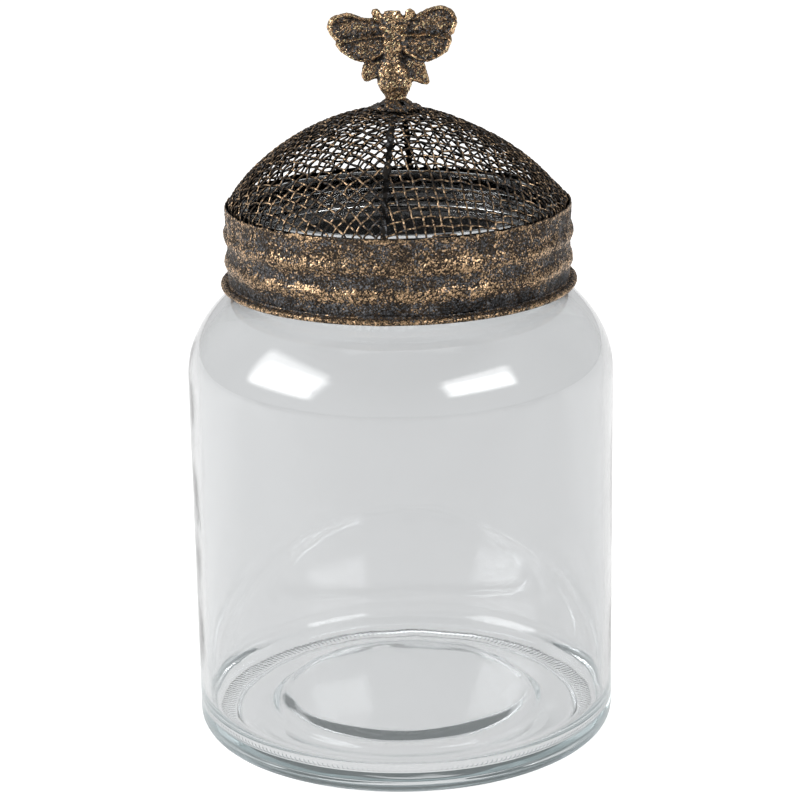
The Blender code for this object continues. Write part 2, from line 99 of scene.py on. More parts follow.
def add_piece(name, points, faces, material):
    """A mesh object made of these points and faces, with its faces turned to point outwards."""
    mesh = bpy.data.meshes.new(name)
    mesh.from_pydata(np.asarray(points).reshape(-1, 3).tolist(), [], faces)
    shape = bmesh.new()
    shape.from_mesh(mesh)
    bmesh.ops.recalc_face_normals(shape, faces=shape.faces)
    shape.to_mesh(mesh)
    shape.free()
    mesh.shade_smooth()
    mesh.materials.append(material)
    print(f"{name}: {len(mesh.vertices)} points, {len(mesh.polygons)} faces")
    return put_in_scene(name, mesh)


def grid_faces(rows, columns, round_rows=False):
    """Four-sided faces of a grid whose points are numbered row by row. Each row closes in a round, and the
    last row meets the first where round_rows asks for it."""
    row = np.arange(rows if round_rows else rows - 1)[:, None]
    column = np.arange(columns)[None, :]
    next_row, next_column = (row + 1) % rows, (column + 1) % columns
    corners = [(row, column), (row, next_column), (next_row, next_column), (next_row, column)]
    return np.stack([a * columns + b for a, b in corners], -1).reshape(-1, 4).tolist()


def tube_faces(rows, columns):
    """The faces of such a grid as a tube, with one wide face over each end."""
    ends = [[row * columns + k for k in range(columns)] for row in (0, rows - 1)]
    return grid_faces(rows, columns) + ends


# %% Walk along a profile at equal steps
def even_steps(profile, step):
    """Points at equal steps of arc along a line of (radius, height) corners, both ends kept."""
    profile = np.asarray(profile, float)
    runs = np.hypot(*np.diff(profile, axis=0).T)
    way = np.concatenate([[0], np.cumsum(runs)])
    stops = np.linspace(0, way[-1], max(int(way[-1] / step), 2) + 1)
    return np.stack([np.interp(stops, way, profile[:, 0]), np.interp(stops, way, profile[:, 1])], 1)


def arc(centre, radius, start, end, steps=12):
    """Points (r, z) = centre + radius * (cos a, sin a), with a from start to end in degrees."""
    angle = np.radians(np.linspace(start, end, steps + 1))
    return np.stack([centre[0] + radius * np.cos(angle), centre[1] + radius * np.sin(angle)], 1)


def bezier(corners, steps=40):
    """The cubic (1-t)^3 A + 3 (1-t)^2 t B + 3 (1-t) t^2 C + t^3 D at steps + 1 values of t from 0 to 1."""
    a, b, c, d = (np.array(corner, float) for corner in corners)
    t = np.linspace(0, 1, steps + 1)[:, None]
    return (1 - t) ** 3 * a + 3 * (1 - t) ** 2 * t * b + 3 * (1 - t) * t**2 * c + t**3 * d


# %% Spin a profile
def spun(line, columns):
    """Points (r cos a, r sin a, z) of a line of (r, z) turned about the Z axis, and its r, z and a."""
    angle = np.arange(columns) / columns * math.tau
    radius, height = line[:, :1], line[:, 1:]
    points = np.stack([radius * np.cos(angle), radius * np.sin(angle), height + 0 * angle], -1)
    return points, radius, height, angle


def push_out(points, push, angle):
    """Moves turned points away from the axis."""
    points[..., 0] += push * np.cos(angle)
    points[..., 1] += push * np.sin(angle)


def ease(share):
    """The smooth step 3 s^2 - 2 s^3, with s held between 0 and 1."""
    share = np.clip(share, 0, 1)
    return share**2 * (3 - 2 * share)


# %% Gentle unevenness
def ripple(points, length, seed, waves=24):
    """Smooth noise of about this wavelength at each point: a sum of sine waves that run in random directions.

    Each wave is sin(k . p + phase), with k of length 2 pi / length, and the sum is scaled to about -1..1.
    """
    random = np.random.default_rng(seed)
    heading = random.normal(size=(waves, 3))
    heading /= np.linalg.norm(heading, axis=1)[:, None]
    heading *= math.tau / length * random.uniform(0.6, 1.4, (waves, 1))
    phase = random.uniform(0, math.tau, waves)
    flat = np.asarray(points, float).reshape(-1, 3)
    total = np.sin(flat @ heading.T + phase).sum(1) / math.sqrt(waves)
    return total.reshape(np.shape(points)[:-1])


def ripples(points, *layers):
    """A sum of ripples, each given as its height and length in mm, its seed and its number of waves."""
    return sum(height * MM * ripple(points, length * MM, *rest) for height, length, *rest in layers)


# %% [markdown]
# The lid's finish is the one thing that all its pieces share: dark oxidised steel, slate-grey grains, and
# gold paint dabbed on by hand, which catches on what stands proud and misses what lies deep. Seen close it
# is a crust of grains about half a millimetre wide, each with a colour of its own. A Voronoi texture gives
# such grains, because its colour output is one random value for each cell. It is a node group, so that
# each material can give it its own size of grain and amount of gold. Each mesh carries an attribute
# named `proud`, from 0 in the hollows and on inner sides to 1 on the crests. Where it is low, the finish
# also darkens the colour as painted shade.


# %% Short names for making shader nodes
def wire_up(tree, value, socket):
    """Feeds a socket from another node's output, or sets its value."""
    if isinstance(value, bpy.types.NodeSocket):
        tree.links.new(value, socket)
    else:
        socket.default_value = value


def feed(tree, node, values):
    """Feeds or sets a node's inputs by their names."""
    for name, value in values.items():
        wire_up(tree, value, node.inputs[name])


def calc(tree, operation, *values):
    """The result of a math node."""
    node = tree.nodes.new("ShaderNodeMath")
    node.operation = operation
    for value, socket in zip(values, node.inputs):
        wire_up(tree, value, socket)
    return node.outputs[0]


def noise(tree, position, scale, detail=2.0, roughness=0.5):
    """Noise from 0 to 1 whose blotches are about 1 / scale metres across."""
    node = tree.nodes.new("ShaderNodeTexNoise")
    feed(tree, node, {"Vector": position, "Scale": scale, "Detail": detail, "Roughness": roughness})
    return node.outputs["Fac"]


def ramp(tree, value, low, high, to_low=0.0, to_high=1.0):
    """A smooth step: to_low where the value is under low, to_high where it is over high."""
    node = tree.nodes.new("ShaderNodeMapRange")
    node.interpolation_type = "SMOOTHSTEP"
    feed(tree, node, {"Value": value, "From Min": low, "From Max": high, "To Min": to_low, "To Max": to_high})
    return node.outputs["Result"]


def mix_colours(tree, share, first, second):
    """The first colour where the share is 0, the second where it is 1, and a mix between."""
    node = tree.nodes.new("ShaderNodeMix")
    node.data_type = "RGBA"
    for value, socket in ((share, node.inputs[0]), (first, node.inputs[6]), (second, node.inputs[7])):
        wire_up(tree, value, socket)
    return node.outputs[2]


def apart(tree, vector):
    """The three parts of a vector or a colour."""
    node = tree.nodes.new("ShaderNodeSeparateXYZ")
    wire_up(tree, vector, node.inputs[0])
    return list(node.outputs)


def grains(tree, position, scale):
    """Three random values from 0 to 1 for each grain, where a grain is about 1 / scale metres across."""
    cells = tree.nodes.new("ShaderNodeTexVoronoi")
    feed(tree, cells, {"Vector": position, "Scale": scale})
    return apart(tree, cells.outputs["Color"])


def scale_colour(tree, colour, factor):
    """A colour taken times a factor."""
    node = tree.nodes.new("ShaderNodeVectorMath")
    node.operation = "SCALE"
    wire_up(tree, colour, node.inputs[0])
    wire_up(tree, factor, node.inputs["Scale"])
    return node.outputs[0]


def bumped(tree, height, strength, distance):
    """The normal of a surface with this height in it."""
    node = tree.nodes.new("ShaderNodeBump")
    feed(tree, node, {"Height": height, "Strength": strength, "Distance": distance})
    return node.outputs["Normal"]


def object_position(tree):
    """Where a point lies on its object, in metres."""
    return tree.nodes.new("ShaderNodeTexCoord").outputs["Object"]


def new_material(name):
    """A material, its node tree and its shader."""
    material = bpy.data.materials.new(name)
    material.use_nodes = True
    return material, material.node_tree, material.node_tree.nodes["Principled BSDF"]


# %% The rubbed finish as a node group
def chance(tree, start, *parts):
    """start + each weight * (value - 1/2), as the chance that a grain takes a colour."""
    total = start
    for value, weight in parts:
        total = calc(tree, "MULTIPLY_ADD", calc(tree, "SUBTRACT", value, 0.5), weight, total)
    return total


def above(tree, value, chance_of):
    """1 for the grains whose random value is within this chance, with a soft edge, and 0 for the rest."""
    bar = calc(tree, "SUBTRACT", 1.0, chance_of)
    return ramp(tree, value, calc(tree, "SUBTRACT", bar, 0.05), calc(tree, "ADD", bar, 0.05))


def make_rubbed_finish():
    """Each grain is gold, slate or a brown between dark and bronze. The chance of gold rises with the amount
    of gold, with how proud the spot is, and with two coarser noises, which make it patchy. Where `proud` is
    low, in hollows and on inner sides, the colour is darkened towards black as painted shade."""
    group = bpy.data.node_groups.new("rubbed_finish", "ShaderNodeTree")
    face = group.interface
    face.new_socket("Position", in_out="INPUT", socket_type="NodeSocketVector")
    for name, start in (
        ("Proud", 0.5), ("Grain Scale", 2000.0), ("Patch Scale", 90.0), ("Gold Amount", 0.3),
        ("Slate Amount", 0.2), ("Wipe", 0.6),
    ):
        face.new_socket(name, in_out="INPUT", socket_type="NodeSocketFloat").default_value = start
    for name in ("Dark", "Slate", "Bronze", "Gold"):
        face.new_socket(name, in_out="INPUT", socket_type="NodeSocketColor")
    face.new_socket("Colour", in_out="OUTPUT", socket_type="NodeSocketColor")
    for name in ("Roughness", "Metallic", "Height"):
        face.new_socket(name, in_out="OUTPUT", socket_type="NodeSocketFloat")
    given = group.nodes.new("NodeGroupInput").outputs
    result = group.nodes.new("NodeGroupOutput").inputs

    position, grain_scale, patch_scale = given["Position"], given["Grain Scale"], given["Patch Scale"]
    luck, tone, shade = grains(group, position, grain_scale)
    fine = noise(group, position, calc(group, "MULTIPLY", grain_scale, 1.1), 2.0, 0.6)
    clump = noise(group, position, calc(group, "MULTIPLY", grain_scale, 0.22), 3.0, 0.6)
    patch = noise(group, position, patch_scale, 3.0, 0.55)
    slate_patch = noise(group, position, calc(group, "MULTIPLY", patch_scale, 1.3), 2.0, 0.5)

    proud = given["Proud"]
    wipe = given["Wipe"]
    gold_chance = chance(group, given["Gold Amount"], (proud, wipe), (patch, 1.0), (clump, 1.2), (fine, 0.8))
    lean = calc(group, "MULTIPLY", wipe, -0.8)
    slate_chance = chance(group, given["Slate Amount"], (proud, lean), (slate_patch, 1.2), (clump, -0.8))
    gold = above(group, luck, gold_chance)
    slate = above(group, tone, slate_chance)
    worth = calc(group, "MULTIPLY_ADD", calc(group, "POWER", shade, 1.5), 1.5, 0.3)

    colour = mix_colours(group, calc(group, "POWER", shade, 1.6), given["Dark"], given["Bronze"])
    colour = mix_colours(group, slate, colour, scale_colour(group, given["Slate"], worth))
    colour = mix_colours(group, gold, colour, scale_colour(group, given["Gold"], worth))
    # painted shade: where `proud` is under 0.15 the colour is darkened, down to 2 %, in hollows and on inner
    # sides
    lit = ramp(group, proud, 0.0, 0.15, 0.02, 1.0)
    wire_up(group, scale_colour(group, colour, lit), result["Colour"])
    rough = calc(group, "MULTIPLY_ADD", gold, -0.34, 0.58)
    wire_up(group, calc(group, "MULTIPLY_ADD", fine, 0.15, rough), result["Roughness"])
    plain = calc(group, "MULTIPLY", calc(group, "MULTIPLY_ADD", gold, -0.85, 0.90), lit)
    wire_up(group, calc(group, "SUBTRACT", 1.0, plain), result["Metallic"])
    height = calc(group, "MULTIPLY_ADD", shade, 0.35, calc(group, "MULTIPLY", clump, 1.6))
    wire_up(group, calc(group, "MULTIPLY_ADD", fine, 0.7, height), result["Height"])
    return group


rubbed_finish = make_rubbed_finish()
print("rubbed_finish has", len(rubbed_finish.nodes), "nodes")

# %% Materials of the lid
DARK_STEEL = (0.010, 0.008, 0.006, 1)
SLATE_STEEL = (0.105, 0.108, 0.115, 1)
BRONZE_WASH = (0.082, 0.056, 0.037, 1)
GOLD_FLECK = (0.57, 0.385, 0.225, 1)
WIRE_GOLD = (0.56, 0.385, 0.235, 1)
CAST_GOLD = (0.86, 0.545, 0.310, 1)
SEAM_WASH = (0.012, 0.009, 0.007, 1)
CAST_WASH = (0.140, 0.090, 0.054, 1)


def bronze_material(
    name, grain=0.5, patch=11.0, gold=0.3, slate=0.2, bump=0.12, wipe=0.6, fleck=GOLD_FLECK, wash=BRONZE_WASH,
    dull=1.0
):
    """A material with the rubbed finish. Grain and patch are widths in mm, gold and slate are shares, wipe is
    how strongly the gold keeps to what stands proud, and the finish's roughness is taken times dull."""
    material, tree, shader = new_material(name)
    finish = tree.nodes.new("ShaderNodeGroup")
    finish.node_tree = rubbed_finish
    proud = tree.nodes.new("ShaderNodeAttribute")
    proud.attribute_name = "proud"
    feed(tree, finish, {
        "Position": object_position(tree), "Proud": proud.outputs["Fac"], "Grain Scale": 1 / (grain * MM),
        "Patch Scale": 1 / (patch * MM), "Gold Amount": gold, "Slate Amount": slate, "Wipe": wipe,
        "Dark": DARK_STEEL, "Slate": SLATE_STEEL, "Bronze": wash, "Gold": fleck,
    })
    look = finish.outputs
    feed(tree, shader, {
        "Specular IOR Level": 0.2, "Base Color": look["Colour"], "Metallic": look["Metallic"],
        "Roughness": calc(tree, "MULTIPLY", look["Roughness"], dull),
        "Normal": bumped(tree, look["Height"], 0.8, bump * MM),
    })
    return material


band_finish = bronze_material("aged_band", grain=0.42, patch=8.0, gold=0.19, slate=0.26, bump=0.18, wipe=0.8)
hoop_finish = bronze_material("dark_hoop", gold=0.0, slate=0.0)
wire_finish = bronze_material(
    "aged_wire", grain=0.6, patch=8.0, gold=0.28, slate=0.04, bump=0.05, wipe=0.9, fleck=WIRE_GOLD
)
seam_finish = bronze_material(
    "seam_strip", grain=0.45, patch=5.0, gold=0.05, slate=0.04, bump=0.16, wash=SEAM_WASH
)
plate_finish = bronze_material("aged_plate", grain=0.40, patch=5.0, gold=0.08, slate=0.36, bump=0.14)
casting_finish = bronze_material(
    "aged_casting", grain=0.34, patch=4.0, gold=0.36, slate=0.18, bump=0.08, wipe=0.9,
    fleck=CAST_GOLD, wash=CAST_WASH, dull=0.7,
)
print("materials that share the rubbed finish:", rubbed_finish.users)


def keep_proud(piece, proud):
    """Stores how far each point stands proud, from 0 to 1, for the rubbed finish to read."""
    attribute = piece.data.attributes.new("proud", "FLOAT", "POINT")
    attribute.data.foreach_set("value", np.clip(proud, 0, 1).astype(np.float32).ravel())


# %% [markdown]
# The glass is one closed wall, turned from a profile that runs up the outside, over the rim and down the
# inside. Blown glass is never quite even, so both faces get a soft ripple, each its own, and the light
# bends a little differently everywhere. Under the base a ring of small ridges keeps the hot jar from
# sticking: those are real geometry too, so the wall has four times as many columns there.

# %% Profile of the glass
BODY_WALL, NECK_WALL = 3.0 * MM, 4.0 * MM
BODY_HEIGHT, SHOULDER_FULLNESS, NECK_FILLET = 121.6 * MM, 19.2 * MM, 2.0 * MM
FLOOR, HEEL, INNER_HEEL = 5.0 * MM, 5.0 * MM, 9.0 * MM
BEARING_WIDTH, BASE_LIFT = 7.0 * MM, 1.2 * MM
PUSH_UP_RADIUS, PUSH_UP_STEP, PUSH_UP_EDGE, PUSH_UP_CROWN = 46.0 * MM, 3.0 * MM, 6.5 * MM, 3.5 * MM
RING_HEIGHT, RING_WIDTH, RING_BELOW_RIM = 1.5 * MM, 7.2 * MM, 9.4 * MM
RING_EDGE = 0.2  # share of the ring's width that each flank takes
RING_GROOVE, GROOVE_WIDTH = 0.3, 0.07  # shares of the ring's height and width
NECK_WAVES = [(7.2, 3.2, 0.85), (10.2, 2.6, 0.45), (13.4, 3.2, 0.85)]  # below the rim, width, depth, in mm


def push_up(radius):
    """Lift of the base: step * (3 s^2 - 2 s^3) across the push-up's edge, plus crown * (1 - (r / R)^2)."""
    crown = np.maximum(1 - (radius / PUSH_UP_RADIUS) ** 2, 0)
    return PUSH_UP_STEP * ease((PUSH_UP_RADIUS - radius) / PUSH_UP_EDGE) + PUSH_UP_CROWN * crown


def shoulder(radius, neck, top):
    """The shoulder's curve: straight up out of the side, over the round, and up into the neck."""
    foot, over = (radius, BODY_HEIGHT), (radius, BODY_HEIGHT + SHOULDER_FULLNESS)
    return bezier([foot, over, (neck, top - NECK_FILLET), (neck, top)])


def neck_inside():
    """The neck's inner line, with shallow raised-cosine waves that stand towards the axis."""
    height = np.linspace(RIM_HEIGHT - NECK_WALL / 2, neck_foot, 140)
    swell = 0 * height
    for below, width, depth in NECK_WAVES:
        share = np.clip((height - RIM_HEIGHT + below * MM) / (width * MM), -0.5, 0.5)
        swell += depth * MM * np.cos(math.pi * share) ** 2
    return np.stack([neck_radius - NECK_WALL - swell, height], 1)


def glass_profiles():
    """The outside line from the middle of the base to the rim's top, and the inside line back down."""
    heel = BODY_RADIUS - HEEL
    radius = np.linspace(0, PUSH_UP_RADIUS, 60)
    underside = np.stack([radius, BASE_LIFT + push_up(radius)], 1)
    bearing = [(heel - BEARING_WIDTH - BASE_LIFT, BASE_LIFT), (heel - BEARING_WIDTH, 0.0), (heel, 0.0)]
    share = np.linspace(-0.5, 0.5, 40)
    rise = ease((0.5 - np.abs(share)) / RING_EDGE) - RING_GROOVE * np.exp(-((share / GROOVE_WIDTH) ** 2))
    ring = np.stack([neck_radius + RING_HEIGHT * rise, RIM_HEIGHT - RING_BELOW_RIM + share * RING_WIDTH], 1)
    bend = NECK_WALL / 2
    rim = arc((neck_radius - bend, RIM_HEIGHT - bend), bend, 0, 180, 24)
    heel_line = arc((heel, HEEL), HEEL, -90, 0, 16)
    outside = [underside, bearing, heel_line, shoulder(BODY_RADIUS, neck_radius, neck_foot), ring, rim[:13]]
    inner = BODY_RADIUS - BODY_WALL
    inside = [
        rim[12:],
        neck_inside(),
        shoulder(inner, neck_radius - NECK_WALL, neck_foot - BODY_WALL)[::-1],
        arc((inner - INNER_HEEL, FLOOR + INNER_HEEL), INNER_HEEL, 0, -90, 16),
        np.stack([radius[::-1], FLOOR + BASE_LIFT + push_up(radius[::-1])], 1),
    ]
    return np.concatenate(outside), np.concatenate(inside)


# %% The glass wall
GLASS_COLUMNS, STIPPLE_SHARE = 232, 4
STIPPLE_INNER, STIPPLE_OUTER, STIPPLE_HEIGHT = 59.5 * MM, 66.0 * MM, 0.55 * MM
STIPPLE_MARGINS = 1.5 * MM, 0.5 * MM  # how far the narrow columns reach past the ridges, in and out
GLASS_STEP, BASE_STEP = 1.3 * MM, 0.5 * MM
FLOOR_WAVE, FLOOR_WAVE_LENGTH, FLOOR_WAVE_REACH = 0.16 * MM, 26 * MM, 7 * MM
PLAIN_HEIGHT, PLAIN_RADIUS = 20 * MM, 30 * MM  # the side is plain above this, and the floor inside this
OUTSIDE_SEED, INSIDE_SEED = 11, 23


def glass_rings(line, columns, ripple_seed):
    """Points of a turned wall, with its r and z rippled. The outside is only ever pushed inwards, so that
    the jar keeps within its packed size."""
    points, radius, height, angle = spun(line, columns)
    edge = np.exp(-(((radius - PUSH_UP_RADIUS + PUSH_UP_EDGE / 2) / FLOOR_WAVE_REACH) ** 2))
    edge = edge * (height < HEEL + FLOOR)
    points[..., 2] += FLOOR_WAVE * edge * ripple(points, FLOOR_WAVE_LENGTH, ripple_seed + 2)
    calm = np.clip((BODY_RADIUS - 2 * MM - radius) / (10 * MM), 0, 1) * (height > BODY_HEIGHT)
    side = 1 - np.maximum(calm, height < HEEL)
    swell = ripples(points, (0.05, 55, ripple_seed), (0.012, 14, ripple_seed + 1))
    push_out(points, np.minimum(side * swell, 0.0 if ripple_seed == OUTSIDE_SEED else 1.0), angle)
    return points


def uneven_steps(line):
    """Steps along the line: short ones at the neck and the heel, longer ones where the wall is plain."""
    fine = even_steps(line, GLASS_STEP / 3)
    radius, height = fine.T
    every = np.full(len(fine), 3)
    every[(height > neck_foot) | ((height < HEEL) & (radius > STIPPLE_INNER))] = 1
    every[(height > PLAIN_HEIGHT) & (height < BODY_HEIGHT)] = 9
    every[(height < PLAIN_HEIGHT) & (radius < PLAIN_RADIUS)] = 6
    return fine[np.arange(len(fine)) % every == 0]


def make_glass(material):
    """The outside and the inside line are walked in uneven steps, spun, and joined at the rim."""
    outside, inside = glass_profiles()
    outside, inside = uneven_steps(outside), uneven_steps(inside)[1:-1]
    radius = outside[:, 0]
    first = int(np.argmax(radius > STIPPLE_INNER - STIPPLE_MARGINS[0]))
    last = first + int(np.argmax(radius[first:] > STIPPLE_OUTER + STIPPLE_MARGINS[1]))
    base_rings = even_steps(outside[first : last + 1], BASE_STEP)
    columns = GLASS_COLUMNS * STIPPLE_SHARE
    fine = glass_rings(base_rings, columns, OUTSIDE_SEED)
    share = np.clip((base_rings[:, 0] - STIPPLE_INNER) / (STIPPLE_OUTER - STIPPLE_INNER), 0, 1)
    rise = STIPPLE_HEIGHT * np.sin(math.pi * share) ** 0.5
    fine[..., 2] += rise[:, None] * (0.5 - 0.5 * np.cos(math.tau * np.arange(columns) / STIPPLE_SHARE))
    blocks = [
        glass_rings(outside[1:first], GLASS_COLUMNS, OUTSIDE_SEED),
        fine,
        glass_rings(outside[last + 1 :], GLASS_COLUMNS, OUTSIDE_SEED),
        glass_rings(inside, GLASS_COLUMNS, INSIDE_SEED),
    ]
    poles = [(0, 0, outside[0, 1]), (0, 0, FLOOR + BASE_LIFT + push_up(0.0))]
    return stitch_rings("glass_wall", blocks, poles, material)


def stitch_rings(name, blocks, poles, material):
    """Joins blocks of rings into one closed skin. Where one block has more columns than the next, each
    wide face takes in the narrow edges beside it, and the first and last ring close on a pole."""
    faces, start, last_ring = [], 0, None
    for block in blocks:
        rows, columns = block.shape[:2]
        faces += (np.array(grid_faces(rows, columns)) + start).tolist()
        ring = start + np.arange(columns)
        if last_ring is not None:
            faces += bridge(last_ring, ring)
        else:
            first_ring = ring
        last_ring = ring + (rows - 1) * columns
        start += rows * columns
    count = start
    faces += [[count, a, b] for a, b in zip(first_ring, np.roll(first_ring, -1))]
    faces += [[count + 1, a, b] for a, b in zip(last_ring, np.roll(last_ring, -1))]
    points = np.concatenate([block.reshape(-1, 3) for block in blocks] + [np.array(poles)])
    return add_piece(name, points, faces, material)


def bridge(lower, upper):
    """Faces between two rings of points, one of which may have a whole number of times the other's points."""
    if len(lower) > len(upper):
        return bridge(upper, lower)
    times = len(upper) // len(lower)
    faces = []
    for k in range(len(lower)):
        run = [upper[(k * times + step) % len(upper)] for step in range(times + 1)]
        faces.append([lower[k], *run, lower[(k + 1) % len(lower)]])
    return [[int(point) for point in face] for face in faces]


# %% [markdown]
# Clear glass is a smooth shader with a high transmission. Two things give the jar its colour. The surface
# takes a little light each time it is crossed, which greys the walls, and the volume takes red light first,
# so that long ways through the glass, at the edges and in the thick base, turn blue-green. Light that is
# thrown back and forth inside the glass is cut short after a few turns, so a path that gets that far ends
# with the pale light that it would have met outside. That is for the thick heel; elsewhere it ends dark.

# %% Clear glass
GLASS_IOR = 1.52
GLASS_TINT = (0.90, 0.905, 0.91, 1)
GLASS_DEPTH_COLOUR = (0.40, 0.62, 0.66, 1)
GLASS_DENSITY = 5.0
GLASS_TURNS, GLASS_LATE_LIGHT, GLASS_LATE_COLOUR = 4, 0.27, (0.88, 0.94, 0.95, 1)
LATE_HEIGHTS = 10 * MM, 25 * MM  # the late light fades out between these heights
LATE_RADII, LATE_INNER_SHARE = (40 * MM, 47 * MM), 0.4  # and rises from this share between these radii


def late_light(tree, position):
    """Strength of the light that ends a path: only low in the glass, and most of it at the heel."""
    turns = tree.nodes.new("ShaderNodeLightPath").outputs["Glossy Depth"]
    late = ramp(tree, turns, GLASS_TURNS - 0.6, GLASS_TURNS - 0.4, 0.0, GLASS_LATE_LIGHT)
    x, y, z = apart(tree, position)
    low = ramp(tree, z, *LATE_HEIGHTS, 1.0, 0.0)
    squares = [calc(tree, "MULTIPLY", part, part) for part in (x, y)]
    radius = calc(tree, "SQRT", calc(tree, "ADD", *squares))
    low = calc(tree, "MULTIPLY", low, ramp(tree, radius, *LATE_RADII, LATE_INNER_SHARE, 1.0))
    return calc(tree, "MULTIPLY", late, low)


def glass_material():
    """Clear, slightly smeared glass that absorbs red light inside."""
    material, tree, shader = new_material("clear_glass")
    position = object_position(tree)
    smear = noise(tree, position, 1 / (22 * MM), 4.0, 0.6)
    feed(tree, shader, {
        "Base Color": GLASS_TINT, "Metallic": 0.0, "Transmission Weight": 1.0, "IOR": GLASS_IOR,
        "Roughness": ramp(tree, smear, 0.45, 0.8, 0.0, 0.05),
        "Normal": bumped(tree, noise(tree, position, 1 / (6 * MM), 2.0), 0.25, 0.05 * MM),
        "Emission Strength": late_light(tree, position), "Emission Color": GLASS_LATE_COLOUR,
    })
    material.cycles.emission_sampling = "NONE"
    absorb = tree.nodes.new("ShaderNodeVolumeAbsorption")
    feed(tree, absorb, {"Color": GLASS_DEPTH_COLOUR, "Density": GLASS_DENSITY})
    wire_up(tree, absorb.outputs["Volume"], tree.nodes["Material Output"].inputs["Volume"])
    return material


glass_wall = make_glass(glass_material())
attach(glass_wall, "jar")
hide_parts("glass_jar")

# %% [markdown]
# The band is thin sheet, rolled into two ridges with a bead round its lower edge and closed with a lap
# seam. Its outside is a grid over angle and height: radius = side + ridges + lap + dents. The inside is the
# same line about one sheet thickness deeper, so that the band stays one closed wall.

# %% Band
SHEET = 0.4 * MM
RIDGES = [(8.9, 0.9), (17.5, 1.2)]  # middle above the band's foot, and how far it stands out, in mm
RIDGE_WIDTH, FLARE, FLARE_FROM, FLARE_LENGTH = 7.2 * MM, 0.4 * MM, 18 * MM, 5 * MM
BEAD_RADIUS, BEAD_FLATNESS = 1.4 * MM, 0.72
CREASE = 2 * BEAD_RADIUS * BEAD_FLATNESS + 0.2 * MM
CREASE_DEPTH, CREASE_WIDTH = 0.5 * MM, 0.6 * MM
OUTER_ROOM, INNER_ROOM, INNER_DENT = 0.15 * MM, 0.1 * MM, 0.05 * MM  # room for the dents on each side
# Values under 0.15, in the crease above the bead, also darken the colour there as painted shade.
WEAR_AND_SHADE = [  # height above the band's foot in mm, and how proud the paint brush found it there
    (0.0, 0.7), (1.1, 1.0), (1.8, 0.7), (2.4, 0.09), (5.6, 0.14), (7.2, 0.75), (10.0, 0.9), (11.8, 0.3),
    (14.4, 0.35), (16.0, 0.75), (18.6, 0.7), (21.0, 0.45), (25.0, 0.45), (26.2, 0.8),
]
BAND_COLUMNS, BAND_STEP, BAND_STEP_INSIDE = 720, 0.3 * MM, 0.9 * MM
LAP_AT = math.radians(-7.75)
LAP_STEP, LAP_WIDTH, LAP_FADE = 0.3 * MM, 0.6 * MM, 9 * MM


def band_bulge(height):
    """Each ridge is a raised cosine, height * cos^2(pi * s), with s from -1/2 to 1/2 across its width. Above
    the upper one the wall leans out a little, by a smooth step."""
    up = height - band_bottom
    bulge = FLARE * ease((up - FLARE_FROM) / FLARE_LENGTH)
    for middle, stands in RIDGES:
        share = (up - middle * MM) / RIDGE_WIDTH
        bulge += np.where(np.abs(share) < 0.5, stands * MM * np.cos(math.pi * share) ** 2, 0)
    return bulge


def band_lines():
    """The profile of the band: down the outside, round the flattened bead, and up the inside."""
    height = np.arange(band_top, band_bottom + CREASE, -BAND_STEP)
    crease = CREASE_DEPTH * np.exp(-(((height - band_bottom - CREASE) / CREASE_WIDTH) ** 2))
    outside = np.stack([band_inner + SHEET + band_bulge(height) - crease, height], 1)
    height = np.arange(band_top, band_bottom + CREASE, -BAND_STEP_INSIDE)
    inside = np.stack([band_inner - INNER_ROOM + band_bulge(height), height], 1)[::-1]
    middle = (band_inner + BEAD_RADIUS, band_bottom + BEAD_RADIUS)
    start = math.degrees(math.acos((SHEET - BEAD_RADIUS) / BEAD_RADIUS))
    bead = arc(middle, BEAD_RADIUS, start, -180, 18)
    bead[:, 1] = band_bottom + (bead[:, 1] - band_bottom) * BEAD_FLATNESS
    return outside, bead, inside


def make_band(material):
    """The turned band, with dents, grit and the lap pushed out along its radius and a ragged upper edge."""
    outside, bead, inside = band_lines()
    line = np.concatenate([outside, bead, inside])
    points, _, height, angle = spun(line, BAND_COLUMNS)
    dents = ripples(points, (0.18, 17, 31), (0.10, 6, 32))
    grit = ripples(points, (0.06, 1.6, 33, 40))
    turn = (angle - (LAP_AT - math.pi / 2) + math.pi) % math.tau - math.pi
    along = turn * band_inner
    lap = LAP_STEP * np.clip(1 - along / LAP_FADE, 0, 1) * (along > 0) * np.clip(along / LAP_WIDTH, 0, 1)
    outer = np.zeros((len(line), 1))
    outer[: len(outside) + len(bead) - 4] = 1
    low_edge, high_edge = (height - band_bottom) / (4 * MM), (band_top - height) / (2 * MM)
    edge = np.clip(low_edge, 0.25, 1) * np.clip(high_edge, 0.3, 1)
    push = dents * edge + outer * (grit + lap) - OUTER_ROOM * outer
    push = np.where(outer > 0, push, np.clip(dents * edge, -INNER_DENT, INNER_DENT) - INNER_ROOM)
    push_out(points, push, angle)
    rag = ripples(points[:1], (0.25, 5, 34))
    points[..., 2] += rag * np.clip((height - band_top + 4 * MM) / (4 * MM), 0, 1)
    faces = grid_faces(len(line), BAND_COLUMNS, round_rows=True)
    band = add_piece("band_shell", points, faces, material)
    proud = np.interp((height - band_bottom) / MM, *np.transpose(WEAR_AND_SHADE)) + (0.5 * dents + 1.2 * grit) / MM
    # painted shade: the inner side of the band gets a proud of 0, so the finish darkens it to near black
    keep_proud(band, proud.clip(0.08) * outer)
    return band


band_shell = make_band(band_finish)
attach(band_shell, "lid")
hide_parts("lid_band")

# %% [markdown]
# The dome is woven wire, pressed over a form in two halves and joined by a folded strip. Each half starts
# as a flat square net, turned by its own angle and cut to a half disc, and is then bent down over the dome.
# Wires that cross go over and under by turns, and that weave is what makes the mesh look like wire and not
# like a punched sheet.

